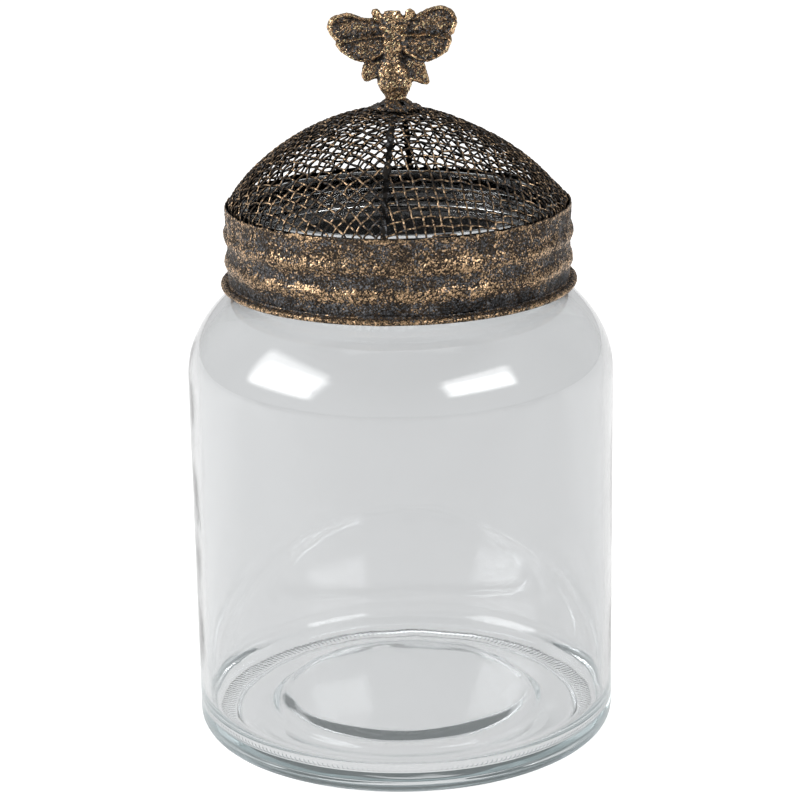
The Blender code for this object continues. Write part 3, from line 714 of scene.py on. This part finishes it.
# %% Form of the dome
DOME_ROUNDNESS, DOME_FULLNESS = 1.95, 1.25
SEAM_EDGE = 0.9 * MM
dome_turn = np.linspace(0, math.pi / 2, 800)
dome_radii = dome_radius * np.sin(dome_turn)


def dome_height(radius):
    """Height z of the dome's middle over radius r, where (r / R)^1.95 + (z / rise)^1.25 = 1."""
    inside = np.clip(1 - (np.asarray(radius) / dome_radius) ** DOME_ROUNDNESS, 0, 1)
    return dome_foot + dome_rise * inside ** (1 / DOME_FULLNESS)


dome_heights = dome_height(dome_radii)
dome_way = np.concatenate([[0], np.cumsum(np.hypot(np.diff(dome_radii), np.diff(dome_heights)))])
print(f"from its top to its edge the dome runs {dome_way[-1] / MM:.1f} mm")


def on_dome(side, x, y):
    """Bends a flat half disc over one half of the dome: a point goes out in its own direction, as far along
    the dome's arc as it lay from the middle of the disc."""
    way = np.maximum(np.hypot(x, y), 1e-7)
    radius = np.interp(way, dome_way, dome_radii)
    return np.stack([side * x / way * radius, y / way * radius, dome_height(radius)], -1)


def dome_normal(points):
    """Outward direction square to the dome: the slope of the meridian, turned a quarter."""
    radius = np.maximum(np.hypot(points[..., 0], points[..., 1]), 1e-7)
    step = 0.05 * MM
    near, far = np.maximum(radius - step, 0), np.minimum(radius + step, dome_radius)
    slope = (dome_height(far) - dome_height(near)) / (far - near)
    x, y = points[..., 0] / radius, points[..., 1] / radius
    normal = np.stack([-slope * x, -slope * y, 1 + 0 * radius], -1)
    return normal / np.linalg.norm(normal, axis=-1)[..., None]


# %% A wire along a path
def wire_tube(path, normal, radius, sides=8):
    """Points and faces of a round wire: at each stop, path + radius * (cos a * normal + sin a * binormal)."""
    tangent = np.gradient(path, axis=0)
    tangent /= np.linalg.norm(tangent, axis=1)[:, None]
    normal = normal - (normal * tangent).sum(1)[:, None] * tangent
    normal /= np.linalg.norm(normal, axis=1)[:, None]
    binormal = np.cross(tangent, normal)
    angle = np.arange(sides) / sides * math.tau
    ring = np.cos(angle)[None, :, None] * normal[:, None] + np.sin(angle)[None, :, None] * binormal[:, None]
    points = path[:, None] + radius * ring
    return points.reshape(-1, 3), tube_faces(len(path), sides)


def join_tubes(name, tubes, material):
    """One piece out of many tubes: the faces of each tube are counted on from the points before it."""
    points, faces, start = [], [], 0
    for tube_points, tube_faces in tubes:
        points.append(tube_points)
        faces += [[start + corner for corner in face] for face in tube_faces]
        start += len(tube_points)
    return add_piece(name, np.concatenate(points), faces, material)


# %% Weave one half of the dome
WIRE_RADIUS, WEAVE_LIFT, WIRE_PITCH = 0.35 * MM, 0.32 * MM, 3.4 * MM
# The outer crest of a wire takes the most gold, partly as a painted highlight, and its inner side, at 0, is
# darkened to near black as painted shade.
WIRE_PROUD_AND_SHADE = [1.0, 0.45, 0.05, 0.0, 0.0, 0.0, 0.05, 0.45]  # round a wire, from its crest
STOPS_PER_CROSSING = 4
HEM_DEPTH = 3.6 * MM
SCREW_CLEAR = 2.3 * MM
MESH_SLIP = 0.22 * MM
DOME_SAG, SAG_REACH, SAG_FOOT = 1.6 * MM, 28 * MM, 6 * MM
NET_REACH = dome_way[-1]


def sagged(points):
    """The right side was pressed a little flatter: z falls by a smooth step of x, less near the foot."""
    room = np.clip((points[..., 2] - dome_foot) / SAG_FOOT, 0, 1)
    drop = DOME_SAG * ease(points[..., 0] / SAG_REACH) * room
    return points - drop[..., None] * [0, 0, 1]


def woven_wire(side, x, y, lift):
    """The path of a wire: its line in the flat net, bent over the dome and lifted over and under the rest."""
    line = sagged(on_dome(side, x, y))
    slip = MESH_SLIP * np.stack([ripple(line, 13 * MM, seed) for seed in (51, 52, 53)], -1)
    normal = dome_normal(line)
    slip -= (slip * normal).sum(1)[:, None] * normal
    calm = np.clip(np.minimum(NET_REACH - np.hypot(x, y), x - SEAM_EDGE) / (4 * MM), 0, 1)[:, None]
    return line + slip * calm + normal * lift[:, None], normal


def with_hem(path, normal):
    """Carries a wire that ends at the rim straight down between the hoop and the band."""
    drop = np.linspace(0.4, 1, 3)[:, None] * [[0, 0, -HEM_DEPTH]]
    for end in (0, -1):
        if abs(path[end, 2] - dome_foot) < 1.0 * MM:
            outward = path[end] * [1, 1, 0] / np.linalg.norm(path[end, :2])
            foot = outward * dome_radius + [0, 0, dome_foot] + drop
            if end == 0:
                path, normal = np.concatenate([foot[::-1], path]), np.concatenate([[outward] * 3, normal])
            else:
                path, normal = np.concatenate([path, foot]), np.concatenate([normal, [outward] * 3])
    return path, normal


def clear_of_screw(path, normal):
    """Cuts a wire where it would run through the screw hole, and keeps what is left on each side."""
    clear = np.hypot(path[:, 0], path[:, 1]) > SCREW_CLEAR
    cuts = np.flatnonzero(np.diff(clear.astype(int))) + 1
    for part_path, part_normal, kept in zip(
        np.split(path, cuts), np.split(normal, cuts), np.split(clear, cuts)
    ):
        if kept[0] and len(part_path) > 3:
            yield part_path, part_normal


def net_wires(turn):
    """Both families of wires of a square net with this turn, each as x, y and lift at its stops.

    A wire runs along (cos t, sin t), a whole number i of pitches off the middle. Its lift is cos(pi (s + i))
    at s pitches along it. The other family has a quarter turn more and the opposite lift.
    """
    count = int(NET_REACH / WIRE_PITCH)
    for family, angle in ((1, turn), (-1, turn + math.pi / 2)):
        ahead = np.array([math.cos(angle), math.sin(angle)])
        aside = np.array([-ahead[1], ahead[0]])
        for i in range(-count, count + 1):
            offset = i * WIRE_PITCH
            half = math.sqrt(NET_REACH**2 - offset**2)
            seam = (SEAM_EDGE - offset * aside[0]) / ahead[0]
            low, high = (max(-half, seam), half) if ahead[0] > 0 else (-half, min(half, seam))
            if high - low > WIRE_PITCH / 2:
                step = WIRE_PITCH / STOPS_PER_CROSSING
                whole = step * np.arange(math.ceil(low / step + 0.3), math.floor(high / step - 0.3) + 1)
                stops = np.concatenate([[low], whole, [high]])
                x, y = ahead[:, None] * stops + aside[:, None] * offset
                yield x, y, WEAVE_LIFT * family * np.cos(math.pi * (stops / WIRE_PITCH + i))


def turn_about_axis(points, angle):
    """Turns points about the Z axis."""
    c, s = math.cos(angle), math.sin(angle)
    return points @ np.array([[c, s, 0], [-s, c, 0], [0, 0, 1]])


def weave_half(name, side, turn, material):
    """One half of the dome: all its wires, hemmed, cut clear of the screw and turned to the seam's place."""
    tubes = []
    for x, y, lift in net_wires(turn):
        path, normal = with_hem(*woven_wire(side, x, y, lift))
        for part_path, part_normal in clear_of_screw(path, normal):
            turned_path = turn_about_axis(part_path, seam_turn)
            tubes.append(wire_tube(turned_path, turn_about_axis(part_normal, seam_turn), WIRE_RADIUS))
    half = join_tubes(name, tubes, material)
    points = np.concatenate([tube[0] for tube in tubes])
    proud = np.tile(WIRE_PROUD_AND_SHADE, len(points) // len(WIRE_PROUD_AND_SHADE))
    patchy = 0.85 + 0.3 * ripple(points, 7 * MM, 61)
    # painted shade: the hem below the dome's foot, between hoop and band, gets 0 and is darkened to near
    # black
    keep_proud(half, proud * patchy * (points[:, 2] > dome_foot - 0.5 * MM))
    return half


mesh_left = weave_half("mesh_left", -1, math.radians(45.5), wire_finish)
mesh_right = weave_half("mesh_right", 1, math.radians(19.5), wire_finish)
for half, node in ((mesh_left, "mesh_panel_left"), (mesh_right, "mesh_panel_right")):
    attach(half, "lid")
    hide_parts(node)


# %% [markdown]
# A plain hoop inside the band pinches the edge of the wire, and a folded strip joins the two halves of the
# dome. The strip is one closed section, a rounded box, carried down the dome's own curve. It was
# crimped by hand, so its edges wander a little.

# %% Hoop
HOOP_STEP, HOOP_COLUMNS = 0.6 * MM, 240


def make_hoop(material):
    """A thin ring with rounded edges: its section, a narrow closed loop, spun about the axis."""
    middle, half = (hoop_inner + hoop_outer) / 2, (hoop_outer - hoop_inner) / 2
    top = arc((middle, hoop_high.z - half), half, 0, 180, 6)
    bottom = arc((middle, hoop_low.z + half), half, 180, 360, 6)
    line = even_steps(np.concatenate([top, bottom, top[:1]]), HOOP_STEP)[:-1]
    points, *_ = spun(line, HOOP_COLUMNS)
    hoop = add_piece("hoop_ring", points, grid_faces(len(line), HOOP_COLUMNS, round_rows=True), material)
    # painted shade: the whole hoop gets a proud of 0, so the finish darkens it to near black
    keep_proud(hoop, np.zeros(len(line) * HOOP_COLUMNS))
    return hoop


hoop_ring = make_hoop(hoop_finish)
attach(hoop_ring, "lid")
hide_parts("mesh_hoop")

# %% Seam strips
STRIP_HALF_WIDTH, STRIP_HALF_DEPTH, STRIP_POWER = 0.95 * MM, 0.60 * MM, 0.6
STRIP_STOPS, STRIP_SIDES = 110, 16


def seam_strip(name, facing, material):
    """A rounded box section, (w cos^p a, d sin^p a), carried down the dome's meridian and its hem."""
    start = np.interp(SCREW_CLEAR + 0.5 * MM, dome_radii, dome_way)
    way = np.linspace(start, dome_way[-1], STRIP_STOPS)
    radius, height = np.interp(way, dome_way, dome_radii), np.interp(way, dome_way, dome_heights)
    drop = np.linspace(0.25, 1, 4) * HEM_DEPTH
    radius, height = np.append(radius, dome_radius + 0 * drop), np.append(height, dome_foot - drop)
    path = np.stack([0 * radius, facing * radius, height], 1)
    slope = np.gradient(path, axis=0)
    slope /= np.linalg.norm(slope, axis=1)[:, None]
    out = np.cross([facing, 0, 0], slope)
    angle = np.arange(STRIP_SIDES) / STRIP_SIDES * math.tau
    across, deep = (
        half * np.sign(turned) * np.abs(turned) ** STRIP_POWER
        for half, turned in ((STRIP_HALF_WIDTH, np.cos(angle)), (STRIP_HALF_DEPTH, np.sin(angle)))
    )
    points = path[:, None] + across[None, :, None] * [1, 0, 0] + deep[None, :, None] * out[:, None]
    inside = np.clip(-deep / STRIP_HALF_DEPTH, 0, 1)[None] + 0 * points[..., 0]
    crimp = ripples(points, (0.20, 5, 71), (0.26, 2.6, 72))
    points[..., 0] += crimp * np.cos(angle)
    push = 0.5 * crimp * (1 - inside) * np.minimum(np.sin(angle), 0.5)
    points += push[..., None] * out[:, None]
    points = turn_about_axis(points, seam_turn)
    strip = add_piece(name, points, tube_faces(len(path), STRIP_SIDES), material)
    # painted shade: the strip's underside gets 0 and the stretches where the crimp sinks get 0.05, so both
    # are darkened
    keep_proud(strip, (0.05 + crimp.clip(0) / MM) * (1 - inside))
    return strip


for side_name, facing in (("front", -1), ("back", 1)):
    strip = seam_strip(f"folded_strip_{side_name}", facing, seam_finish)
    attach(strip, "lid")
    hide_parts(f"seam_strip_{side_name}")


# %% [markdown]
# The finial is two castings: a small flared plate that sits on the mesh, and the bee with its stem. Sand
# castings are rough all over, and the paint was wiped so that gold stays on whatever stands proud. The
# roughness is real geometry here, a few tenths of a millimetre of noise pushed along the normals.

# %% Plate under the bee
PLATE_RADIUS, PLATE_NECK, PLATE_EDGE = plate_high.x, 3.8 * MM, 0.6 * MM
PLATE_BORE, PLATE_STEP, PLATE_COLUMNS, PLATE_SWEEP = 1.8 * MM, 0.25 * MM, 180, 1.74


def make_plate(material):
    """Turned plate whose top sweeps up as edge + rise * ((R - r) / (R - neck))^1.74, with a ragged edge."""
    lift = mesh_depth / 2 + GAP
    under_r = np.linspace(PLATE_BORE, PLATE_RADIUS, 14)
    under = np.stack([under_r, dome_height(under_r) + lift], 1)
    edge = under[-1, 1] + PLATE_EDGE
    top_r = np.linspace(PLATE_RADIUS, PLATE_NECK, 22)
    share = (PLATE_RADIUS - top_r) / (PLATE_RADIUS - PLATE_NECK)
    top = np.stack([top_r, edge + (plate_high.z - edge) * share**PLATE_SWEEP], 1)
    loop = np.concatenate([under, top, [(PLATE_BORE, plate_high.z)], under[:1]])
    line = even_steps(loop, PLATE_STEP)[:-1]
    points, radius, height, _ = spun(line, PLATE_COLUMNS)
    rough = ripples(points, (0.16, 3.2, 81), (0.10, 1.1, 82, 40))
    outer = np.clip((radius - PLATE_NECK) / (2 * MM), 0, 1)
    points[..., :2] *= (1 + (rough - 0.2 * MM) * outer / radius)[..., None]
    above_mesh = np.clip((height - (dome_height(radius) + lift)) / (0.4 * MM), 0, 1) * outer
    points[..., 2] += rough * above_mesh
    faces = grid_faces(len(line), PLATE_COLUMNS, round_rows=True)
    plate = add_piece("flared_plate", points, faces, material)
    # painted shade: where the roughness sinks deep, `proud` falls under 0.15 and the finish darkens the pits
    keep_proud(plate, 0.45 + rough / (0.4 * MM))
    return plate


flared_plate = make_plate(plate_finish)
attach(flared_plate, "lid")
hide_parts("finial_plate")

# %% [markdown]
# The bee is drawn from a few outlines in millimetres, across from its middle and up from its foot. Its body
# is a stack of ovals of changing width. A wing is a flat casting with a raised rim round a hollow, and the
# hind wings lie in front of the fore wings, so that their upper rims show as ridges. A voxel remesh then
# melts all these solids into one skin, as the mould did.


# %% Smooth lines through a few points
def smooth_loop(points, steps=14):
    """A closed Catmull-Rom line: at each point it runs along the chord between its two neighbours."""
    points = np.array(points, float)
    before, after, later = (np.roll(points, shift, axis=0) for shift in (1, -1, -2))
    t = (np.arange(steps) / steps)[None, :, None]
    p, a, b, c = points[:, None], before[:, None], after[:, None], later[:, None]
    line = p + 0.5 * ((b - a) * t + (2 * a - 5 * p + 4 * b - c) * t**2 + (3 * p - a - 3 * b + c) * t**3)
    return line.reshape(-1, 2)


def oval_stack(rows, sides=40, step=0.25):
    """A body of ovals. Each row gives height, middle, half width and half depth, joined by smooth lines."""
    rows = np.array(rows, float)
    height = np.arange(rows[0, 0], rows[-1, 0] + step, step)
    lines = [np.interp(height, rows[:, 0], rows[:, k]) for k in (1, 2, 3)]
    blur = np.ones(5) / 5
    for _ in range(3):
        lines = [np.convolve(np.pad(line, 2, "edge"), blur, "valid") for line in lines]
    middle, wide, deep = (line[:, None] for line in lines)
    angle = np.arange(sides) / sides * math.tau
    x = middle + wide * np.cos(angle)
    points = np.stack([x, deep * np.sin(angle), height[:, None] + 0 * x], -1)
    return points, tube_faces(len(height), sides)


def cast_wing(outline, heart, ahead, thick, rim, hollow):
    """Both faces of a wing: heart + s * (outline - heart), with s from 0 at the heart to 1 at the edge.

    The half thickness is thick * (1 - s^8)^(1/2) + rim * exp(-((s - 0.84) / 0.10)^2) - hollow * (1 - s^4).
    """
    line = smooth_loop(outline)
    s = np.concatenate([np.linspace(0.04, 0.7, 8), np.linspace(0.74, 1.0, 12)])[:, None]
    ridge = rim * np.exp(-(((s - 0.84) / 0.10) ** 2)) * (s < 1)
    half = thick * np.sqrt(1 - s**8) + ridge - hollow * (1 - s**4)
    x = heart[0] + s * (line[:, 0] - heart[0])
    z = heart[1] + s * (line[:, 1] - heart[1])
    front = np.stack([x, ahead - half + 0 * x, z], -1)
    back = np.stack([x, ahead + half + 0 * x, z], -1)[::-1][1:]
    points = np.concatenate([front, back])
    return points, tube_faces(len(points), len(line))


def ball(middle, half, sides=20):
    """A round lump: middle + half * (cos b cos a, cos b sin a, sin b)."""
    a = np.arange(sides) / sides * math.tau
    b = np.linspace(-1.45, 1.45, sides // 2)[:, None]
    points = np.stack([np.cos(b) * np.cos(a), np.cos(b) * np.sin(a), np.sin(b) + 0 * a], -1) * half + middle
    return points, tube_faces(len(points), sides)


# %% Drawing of the bee, in mm
BODY_ROWS = [
    (-0.25, 0.0, 3.4, 3.4), (1.0, -0.1, 3.6, 3.4), (2.2, -0.2, 4.6, 3.9), (4.0, -0.3, 5.5, 4.4),
    (5.6, -0.3, 5.8, 4.7), (7.2, -0.4, 5.5, 4.5), (8.2, -0.5, 5.6, 4.7), (10.0, -0.7, 4.9, 4.3),
    (11.8, -1.0, 3.4, 3.0), (13.0, -1.0, 3.2, 2.9), (15.5, -1.0, 3.5, 3.9), (18.0, -0.9, 3.5, 4.0),
    (20.0, -0.8, 3.2, 3.3), (22.4, -0.9, 4.4, 3.6), (23.8, -0.8, 3.4, 2.7), (25.5, -0.7, 3.6, 2.9),
    (26.9, -0.6, 3.2, 2.5), (27.8, -0.6, 2.4, 1.8),
]
LUMPS = [  # middle and half sizes of the lumps that stand out of the body
    ((-3.3, -2.4, 22.9), (1.3, 1.4, 1.1)), ((1.6, -2.4, 23.0), (1.3, 1.4, 1.1)),
    ((-2.6, -2.9, 18.0), (1.2, 1.2, 1.6)), ((1.0, -2.9, 16.6), (1.3, 1.2, 1.8)),
    ((-2.4, -3.2, 8.8), (1.8, 1.5, 1.9)), ((2.3, -3.3, 4.6), (1.4, 1.3, 1.2)),
    ((-5.9, -0.2, 27.2), (1.6, 1.5, 1.6)), ((4.9, -0.2, 27.0), (1.8, 1.6, 1.7)),
    ((-4.2, 0.3, 12.6), (2.2, 1.3, 1.6)), ((2.6, 0.3, 12.8), (2.4, 1.3, 1.8)),
]
STALKS = [((-5.6, 26.6), (-3.0, 23.6)), ((4.6, 26.2), (2.0, 23.4))]
FORE_LEFT = [
    (-2.5, 25.3), (-7.2, 25.7), (-10.3, 26.1), (-13.5, 27.3), (-15.7, 27.5), (-18.2, 27.0), (-20.5, 26.0),
    (-21.5, 24.1), (-21.5, 22.2), (-20.7, 20.4), (-19.0, 18.6), (-14.0, 18.6), (-7.0, 19.6), (-1.5, 19.6),
]
HIND_LEFT = [
    (-1.5, 20.6), (-6.0, 20.5), (-10.0, 20.1), (-14.5, 19.3), (-18.6, 18.6), (-19.1, 17.4), (-17.9, 15.6),
    (-16.1, 14.1), (-13.6, 12.6), (-10.6, 11.7), (-7.4, 12.1), (-2.0, 15.4),
]
FORE_RIGHT = [
    (2.0, 24.8), (5.4, 25.6), (7.2, 26.8), (9.4, 28.1), (11.9, 29.0), (14.4, 29.4), (16.9, 28.9),
    (18.7, 27.7), (19.7, 25.9), (20.0, 24.0), (19.5, 21.9), (18.6, 20.2), (16.5, 19.2), (12.0, 19.4),
    (6.0, 19.8), (1.0, 19.6),
]
HIND_RIGHT = [
    (1.0, 20.6), (5.5, 20.8), (9.0, 21.1), (12.5, 20.6), (15.8, 19.8), (18.1, 19.4), (17.9, 17.2),
    (17.1, 15.3), (16.0, 14.3), (14.2, 13.0), (12.2, 12.1), (10.1, 11.5), (6.5, 12.2), (1.5, 15.4),
]
LEGS_LEFT = [
    (-3.0, 12.6), (-7.0, 12.0), (-10.0, 11.3), (-10.9, 8.6), (-11.0, 6.8), (-9.4, 5.4), (-7.3, 6.1),
    (-5.0, 7.6),
]
LEGS_RIGHT = [
    (3.5, 12.6), (7.0, 12.4), (9.3, 11.2), (10.2, 8.2), (10.9, 5.3), (9.8, 4.2), (6.8, 5.0), (4.0, 6.6),
]
WINGS = [  # outline, heart, how far ahead, thickness, rim and hollow
    (FORE_LEFT, (-13.0, 22.6), 0.3, 1.20, 1.10, 0.70), (HIND_LEFT, (-11.0, 16.4), -0.7, 1.20, 1.10, 0.60),
    (FORE_RIGHT, (12.6, 24.2), 0.3, 1.20, 1.10, 0.70), (HIND_RIGHT, (11.0, 16.6), -0.7, 1.20, 1.10, 0.60),
    (LEGS_LEFT, (-7.6, 9.0), -0.2, 1.60, 0.25, 0.10), (LEGS_RIGHT, (7.4, 8.4), -0.2, 1.60, 0.25, 0.10),
]


def bee_parts():
    """All the solids of the bee as pairs of points and faces."""
    parts = [oval_stack(BODY_ROWS)]
    parts += [ball(middle, half) for middle, half in LUMPS]
    for top, root in STALKS:
        for share in np.linspace(0, 1, 6):
            middle = np.array(root) + share * (np.array(top) - np.array(root))
            parts.append(ball((middle[0], -0.1, middle[1]), (1.5, 1.4, 1.5)))
    parts += [cast_wing(*wing) for wing in WINGS]
    return [(points.reshape(-1, 3), faces) for points, faces in parts]


# %% Melt the parts into one casting and roughen it
BEE_VOXEL = 0.28 * MM
bee_foot = plate_high.z + GAP


def melt(name, parts, voxel, material):
    """One skin round all the parts: they are joined into a mesh, and a voxel remesh keeps its outside."""
    solid = join_tubes(f"{name}_solid", parts, material)
    skin = solid.modifiers.new("skin", "REMESH")
    skin.mode = "VOXEL"
    skin.voxel_size = voxel
    evaluated = solid.evaluated_get(bpy.context.evaluated_depsgraph_get())
    mesh = bpy.data.meshes.new_from_object(evaluated)
    mesh.name = name
    bpy.data.objects.remove(solid)
    mesh.shade_smooth()
    print(f"{name}: {len(mesh.vertices)} points, {len(mesh.polygons)} faces")
    return put_in_scene(name, mesh)


def read_mesh(mesh):
    """Points, normals and edges of a mesh as arrays."""
    points, normals = np.empty((len(mesh.vertices), 3)), np.empty((len(mesh.vertices), 3))
    edges = np.empty((len(mesh.edges), 2), int)
    mesh.vertices.foreach_get("co", points.ravel())
    mesh.vertices.foreach_get("normal", normals.ravel())
    mesh.edges.foreach_get("vertices", edges.ravel())
    return points, normals, edges


def relaxed(points, edges, rounds):
    """The points after this many rounds, in each of which a point goes half-way to its neighbours' middle."""
    here, there = np.concatenate([edges, edges[:, ::-1]]).T
    degree = np.bincount(here, minlength=len(points))
    for _ in range(rounds):
        totals = [np.bincount(here, weights=values[there], minlength=len(points)) for values in points.T]
        points = (points + (totals / degree).T) / 2
    return points


def make_bee(material):
    """The casting with grit on it. A point stands proud by how far it lies outside its smoothed place."""
    parts = [(points * MM + [0, 0, bee_foot], faces) for points, faces in bee_parts()]
    bee = melt("cast_bee", parts, BEE_VOXEL, material)
    bee.data.materials.clear()
    bee.data.materials.append(material)
    points, normals, edges = read_mesh(bee.data)
    points = relaxed(points, edges, 2)
    grit = ripples(points, (0.08, 2.2, 91, 40), (0.07, 1.0, 92, 48))
    high = np.clip((bee_high.z - points[:, 2]) / (1.0 * MM), 0, 1)
    points += normals * ((grit - 0.10 * MM) * high)[:, None]
    points[:, 2] = np.clip(points[:, 2], bee_foot - 0.25 * MM, bee_high.z)
    bee.data.vertices.foreach_set("co", points.ravel())
    bee.data.update()
    fine = ((points - relaxed(points, edges, 12)) * normals).sum(1)
    broad = ((points - relaxed(points, edges, 110)) * normals).sum(1)
    # painted shade: in the deepest hollows `proud` is held at 0.06, so the finish darkens them to about a
    # third
    keep_proud(bee, (0.48 + fine / (0.40 * MM) + (broad / (1.4 * MM)).clip(max=0.25)).clip(0.06))
    return bee


cast_bee = make_bee(casting_finish)
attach(cast_bee, "lid")
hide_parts("bee_finial")

# %% [markdown]
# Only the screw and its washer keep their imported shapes. They are plain plated steel, and show from below.

# %% Plated steel
STEEL_DARK, STEEL_LIGHT = (0.36, 0.35, 0.33, 1), (0.52, 0.51, 0.49, 1)


def plated_steel():
    """Plain grey metal with a fine grain in its colour and its sheen."""
    material, tree, shader = new_material("plated_steel")
    grain = noise(tree, object_position(tree), 1 / (0.8 * MM), 3.0)
    feed(tree, shader, {
        "Metallic": 1.0, "Base Color": mix_colours(tree, grain, STEEL_DARK, STEEL_LIGHT),
        "Roughness": ramp(tree, grain, 0.3, 0.7, 0.3, 0.45),
    })
    return material


steel_finish = plated_steel()
for node in ("finial_screw", "inner_washer"):
    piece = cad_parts[node]
    piece.data.materials.clear()
    piece.data.materials.append(steel_finish)
    print("plated", node)


# %% [markdown]
# The camera was fitted to the outlines of the rim, the band and the base. It stands 0.8 m in front of the
# jar and looks down at 16.5 degrees, tipped one degree to the side. The floor is pale and wide, and the
# light comes from two softboxes in front, left and right, and a large one overhead. What is seen in a
# reflection or through the glass differs from what the camera meets: there the room is pale behind the jar
# and dark in front of it, which keeps the neck black and the walls clear.

# %% Camera
CAMERA_PLACE = (-0.0004, -0.810, 0.3512)
CAMERA_DIP, CAMERA_TIP = math.radians(16.543), math.radians(-1.0)
camera_data = bpy.data.cameras.new("camera")
camera_data.lens, camera_data.sensor_width = 114.84, 36.0
camera = put_in_scene("camera", camera_data)
camera.location = CAMERA_PLACE
camera.rotation_mode = "XYZ"
camera.rotation_euler = (math.pi / 2 - CAMERA_DIP, 0, 0)
camera.rotation_euler.rotate_axis("Z", CAMERA_TIP)
bpy.context.scene.camera = camera

# %% Floor, backdrop light and softboxes
FLOOR_RADIUS, FLOOR_SIDES, FLOOR_LEVEL, FLOOR_GLOW = 4.0, 96, -0.2 * MM, 0.8
FLOOR_WHITE, FLOOR_THROUGH_GLASS = (0.86, 0.86, 0.86, 1), (0.05, 0.05, 0.05, 1)
# Through the glass the floor glows more on the left than on the right, a painted falloff of the key light on
# the left; its own colour there is nearly black, so the glow mostly sets its brightness.
FLOOR_GLOW_LEFT, FLOOR_GLOW_RIGHT, FLOOR_GLOW_IN_REFLECTIONS = 0.83, 0.72, 0.6
SIDES_FADE, BEHIND_FADE, FRONT_FADE = (-0.2, 0.2), (-0.08, 0.1), (-0.35, -0.12)  # metres across, and back
FRONT_OF_ROOM = 0.08  # share of the floor's glow that its dark front leaves in a reflection
AMBIENT = 0.25
THROUGH_GLASS, DARK_ROOM, PALE_BACKDROP = 0.78, 0.08, 0.45


def white_for_looks(tree, plain):
    """Strength 1 where the camera meets this, less through glass, else the plain one. A reflection shows the
    room: dark in front and overhead, and pale behind the jar, where the backdrop hangs."""
    path = tree.nodes.new("ShaderNodeLightPath").outputs
    _, back, _ = apart(tree, tree.nodes.new("ShaderNodeTexCoord").outputs["Generated"])
    room = ramp(tree, back, 0.2, 0.7, DARK_ROOM, PALE_BACKDROP)
    strength = ramp(tree, path["Is Glossy Ray"], 0.0, 1.0, plain, room)
    strength = ramp(tree, path["Is Transmission Ray"], 0.0, 1.0, strength, THROUGH_GLASS)
    return ramp(tree, path["Is Camera Ray"], 0.0, 1.0, strength, 1.0)


def make_world():
    """A white world, as bright as each kind of ray should find it."""
    world = bpy.data.worlds.new("studio")
    bpy.context.scene.world = world
    world.use_nodes = True
    background = world.node_tree.nodes["Background"]
    background.inputs["Color"].default_value = (1, 1, 1, 1)
    wire_up(world.node_tree, white_for_looks(world.node_tree, AMBIENT), background.inputs["Strength"])


def make_floor():
    """A wide disc of pale floor. It adds a little glow of its own to what is seen, so that it reads white."""
    rim, *_ = spun(np.array([[FLOOR_RADIUS, FLOOR_LEVEL]]), FLOOR_SIDES)
    material, tree, shader = new_material("pale_floor")
    path = tree.nodes.new("ShaderNodeLightPath").outputs
    across, back, _ = apart(tree, object_position(tree))
    behind = ramp(tree, back, *BEHIND_FADE, 0.0, FLOOR_GLOW_IN_REFLECTIONS)
    glow = calc(tree, "MULTIPLY", path["Is Glossy Ray"], behind)
    through = ramp(tree, across, *SIDES_FADE, FLOOR_GLOW_LEFT, FLOOR_GLOW_RIGHT)
    turned = ramp(tree, path["Glossy Depth"], 0.4, 0.6)
    in_front = ramp(tree, back, *FRONT_FADE, FRONT_OF_ROOM, 1.0)
    through = calc(tree, "MULTIPLY", through, ramp(tree, turned, 0.0, 1.0, 1.0, in_front))
    glow = ramp(tree, path["Is Transmission Ray"], 0.0, 1.0, glow, through)
    feed(tree, shader, {
        "Base Color": mix_colours(tree, path["Is Transmission Ray"], FLOOR_WHITE, FLOOR_THROUGH_GLASS),
        "Roughness": 0.9, "Specular IOR Level": 0.0, "Emission Color": (1, 1, 1, 1),
        "Emission Strength": calc(tree, "MULTIPLY_ADD", path["Is Camera Ray"], FLOOR_GLOW, glow),
    })
    floor = add_piece("pale_floor", rim, [list(range(FLOOR_SIDES))], material)


def softbox(name, place, aim, size, power, edges=(0.15, 0.2)):
    """An area lamp whose cloth is brightest in the middle and fades towards its edges."""
    data = bpy.data.lights.new(name, "AREA")
    data.shape = "RECTANGLE"
    data.size, data.size_y = size
    data.energy = power
    lamp = put_in_scene(name, data)
    lamp.location = place
    look = np.array(aim) - np.array(place)
    lamp.rotation_mode = "QUATERNION"
    lamp.rotation_quaternion = Vector(look).to_track_quat("-Z", "Y")
    lamp.visible_camera = False
    data.use_nodes = True
    tree = data.node_tree
    across, along, _ = apart(tree, tree.nodes.new("ShaderNodeNewGeometry").outputs["Parametric"])
    fades = []
    for share, width in zip((across, along), edges):
        inset = calc(tree, "SUBTRACT", 0.5, calc(tree, "ABSOLUTE", calc(tree, "SUBTRACT", share, 0.5)))
        fades.append(ramp(tree, inset, 0.0, width))
    wire_up(tree, calc(tree, "MULTIPLY", *fades), tree.nodes["Emission"].inputs["Strength"])


make_world()
make_floor()
softbox("softbox_left", (-1.27, -0.47, 0.84), (0, -0.06, 0.137), (1.3, 0.97), 25)
softbox("softbox_right", (0.97, -0.93, 0.89), (0, -0.06, 0.137), (1.2, 0.62), 15)
softbox("softbox_top", (0, 0.2, 1.6), (0, 0, 0.1), (1.2, 0.8), 4)

# %% View settings
bpy.context.scene.view_settings.view_transform = "Standard"
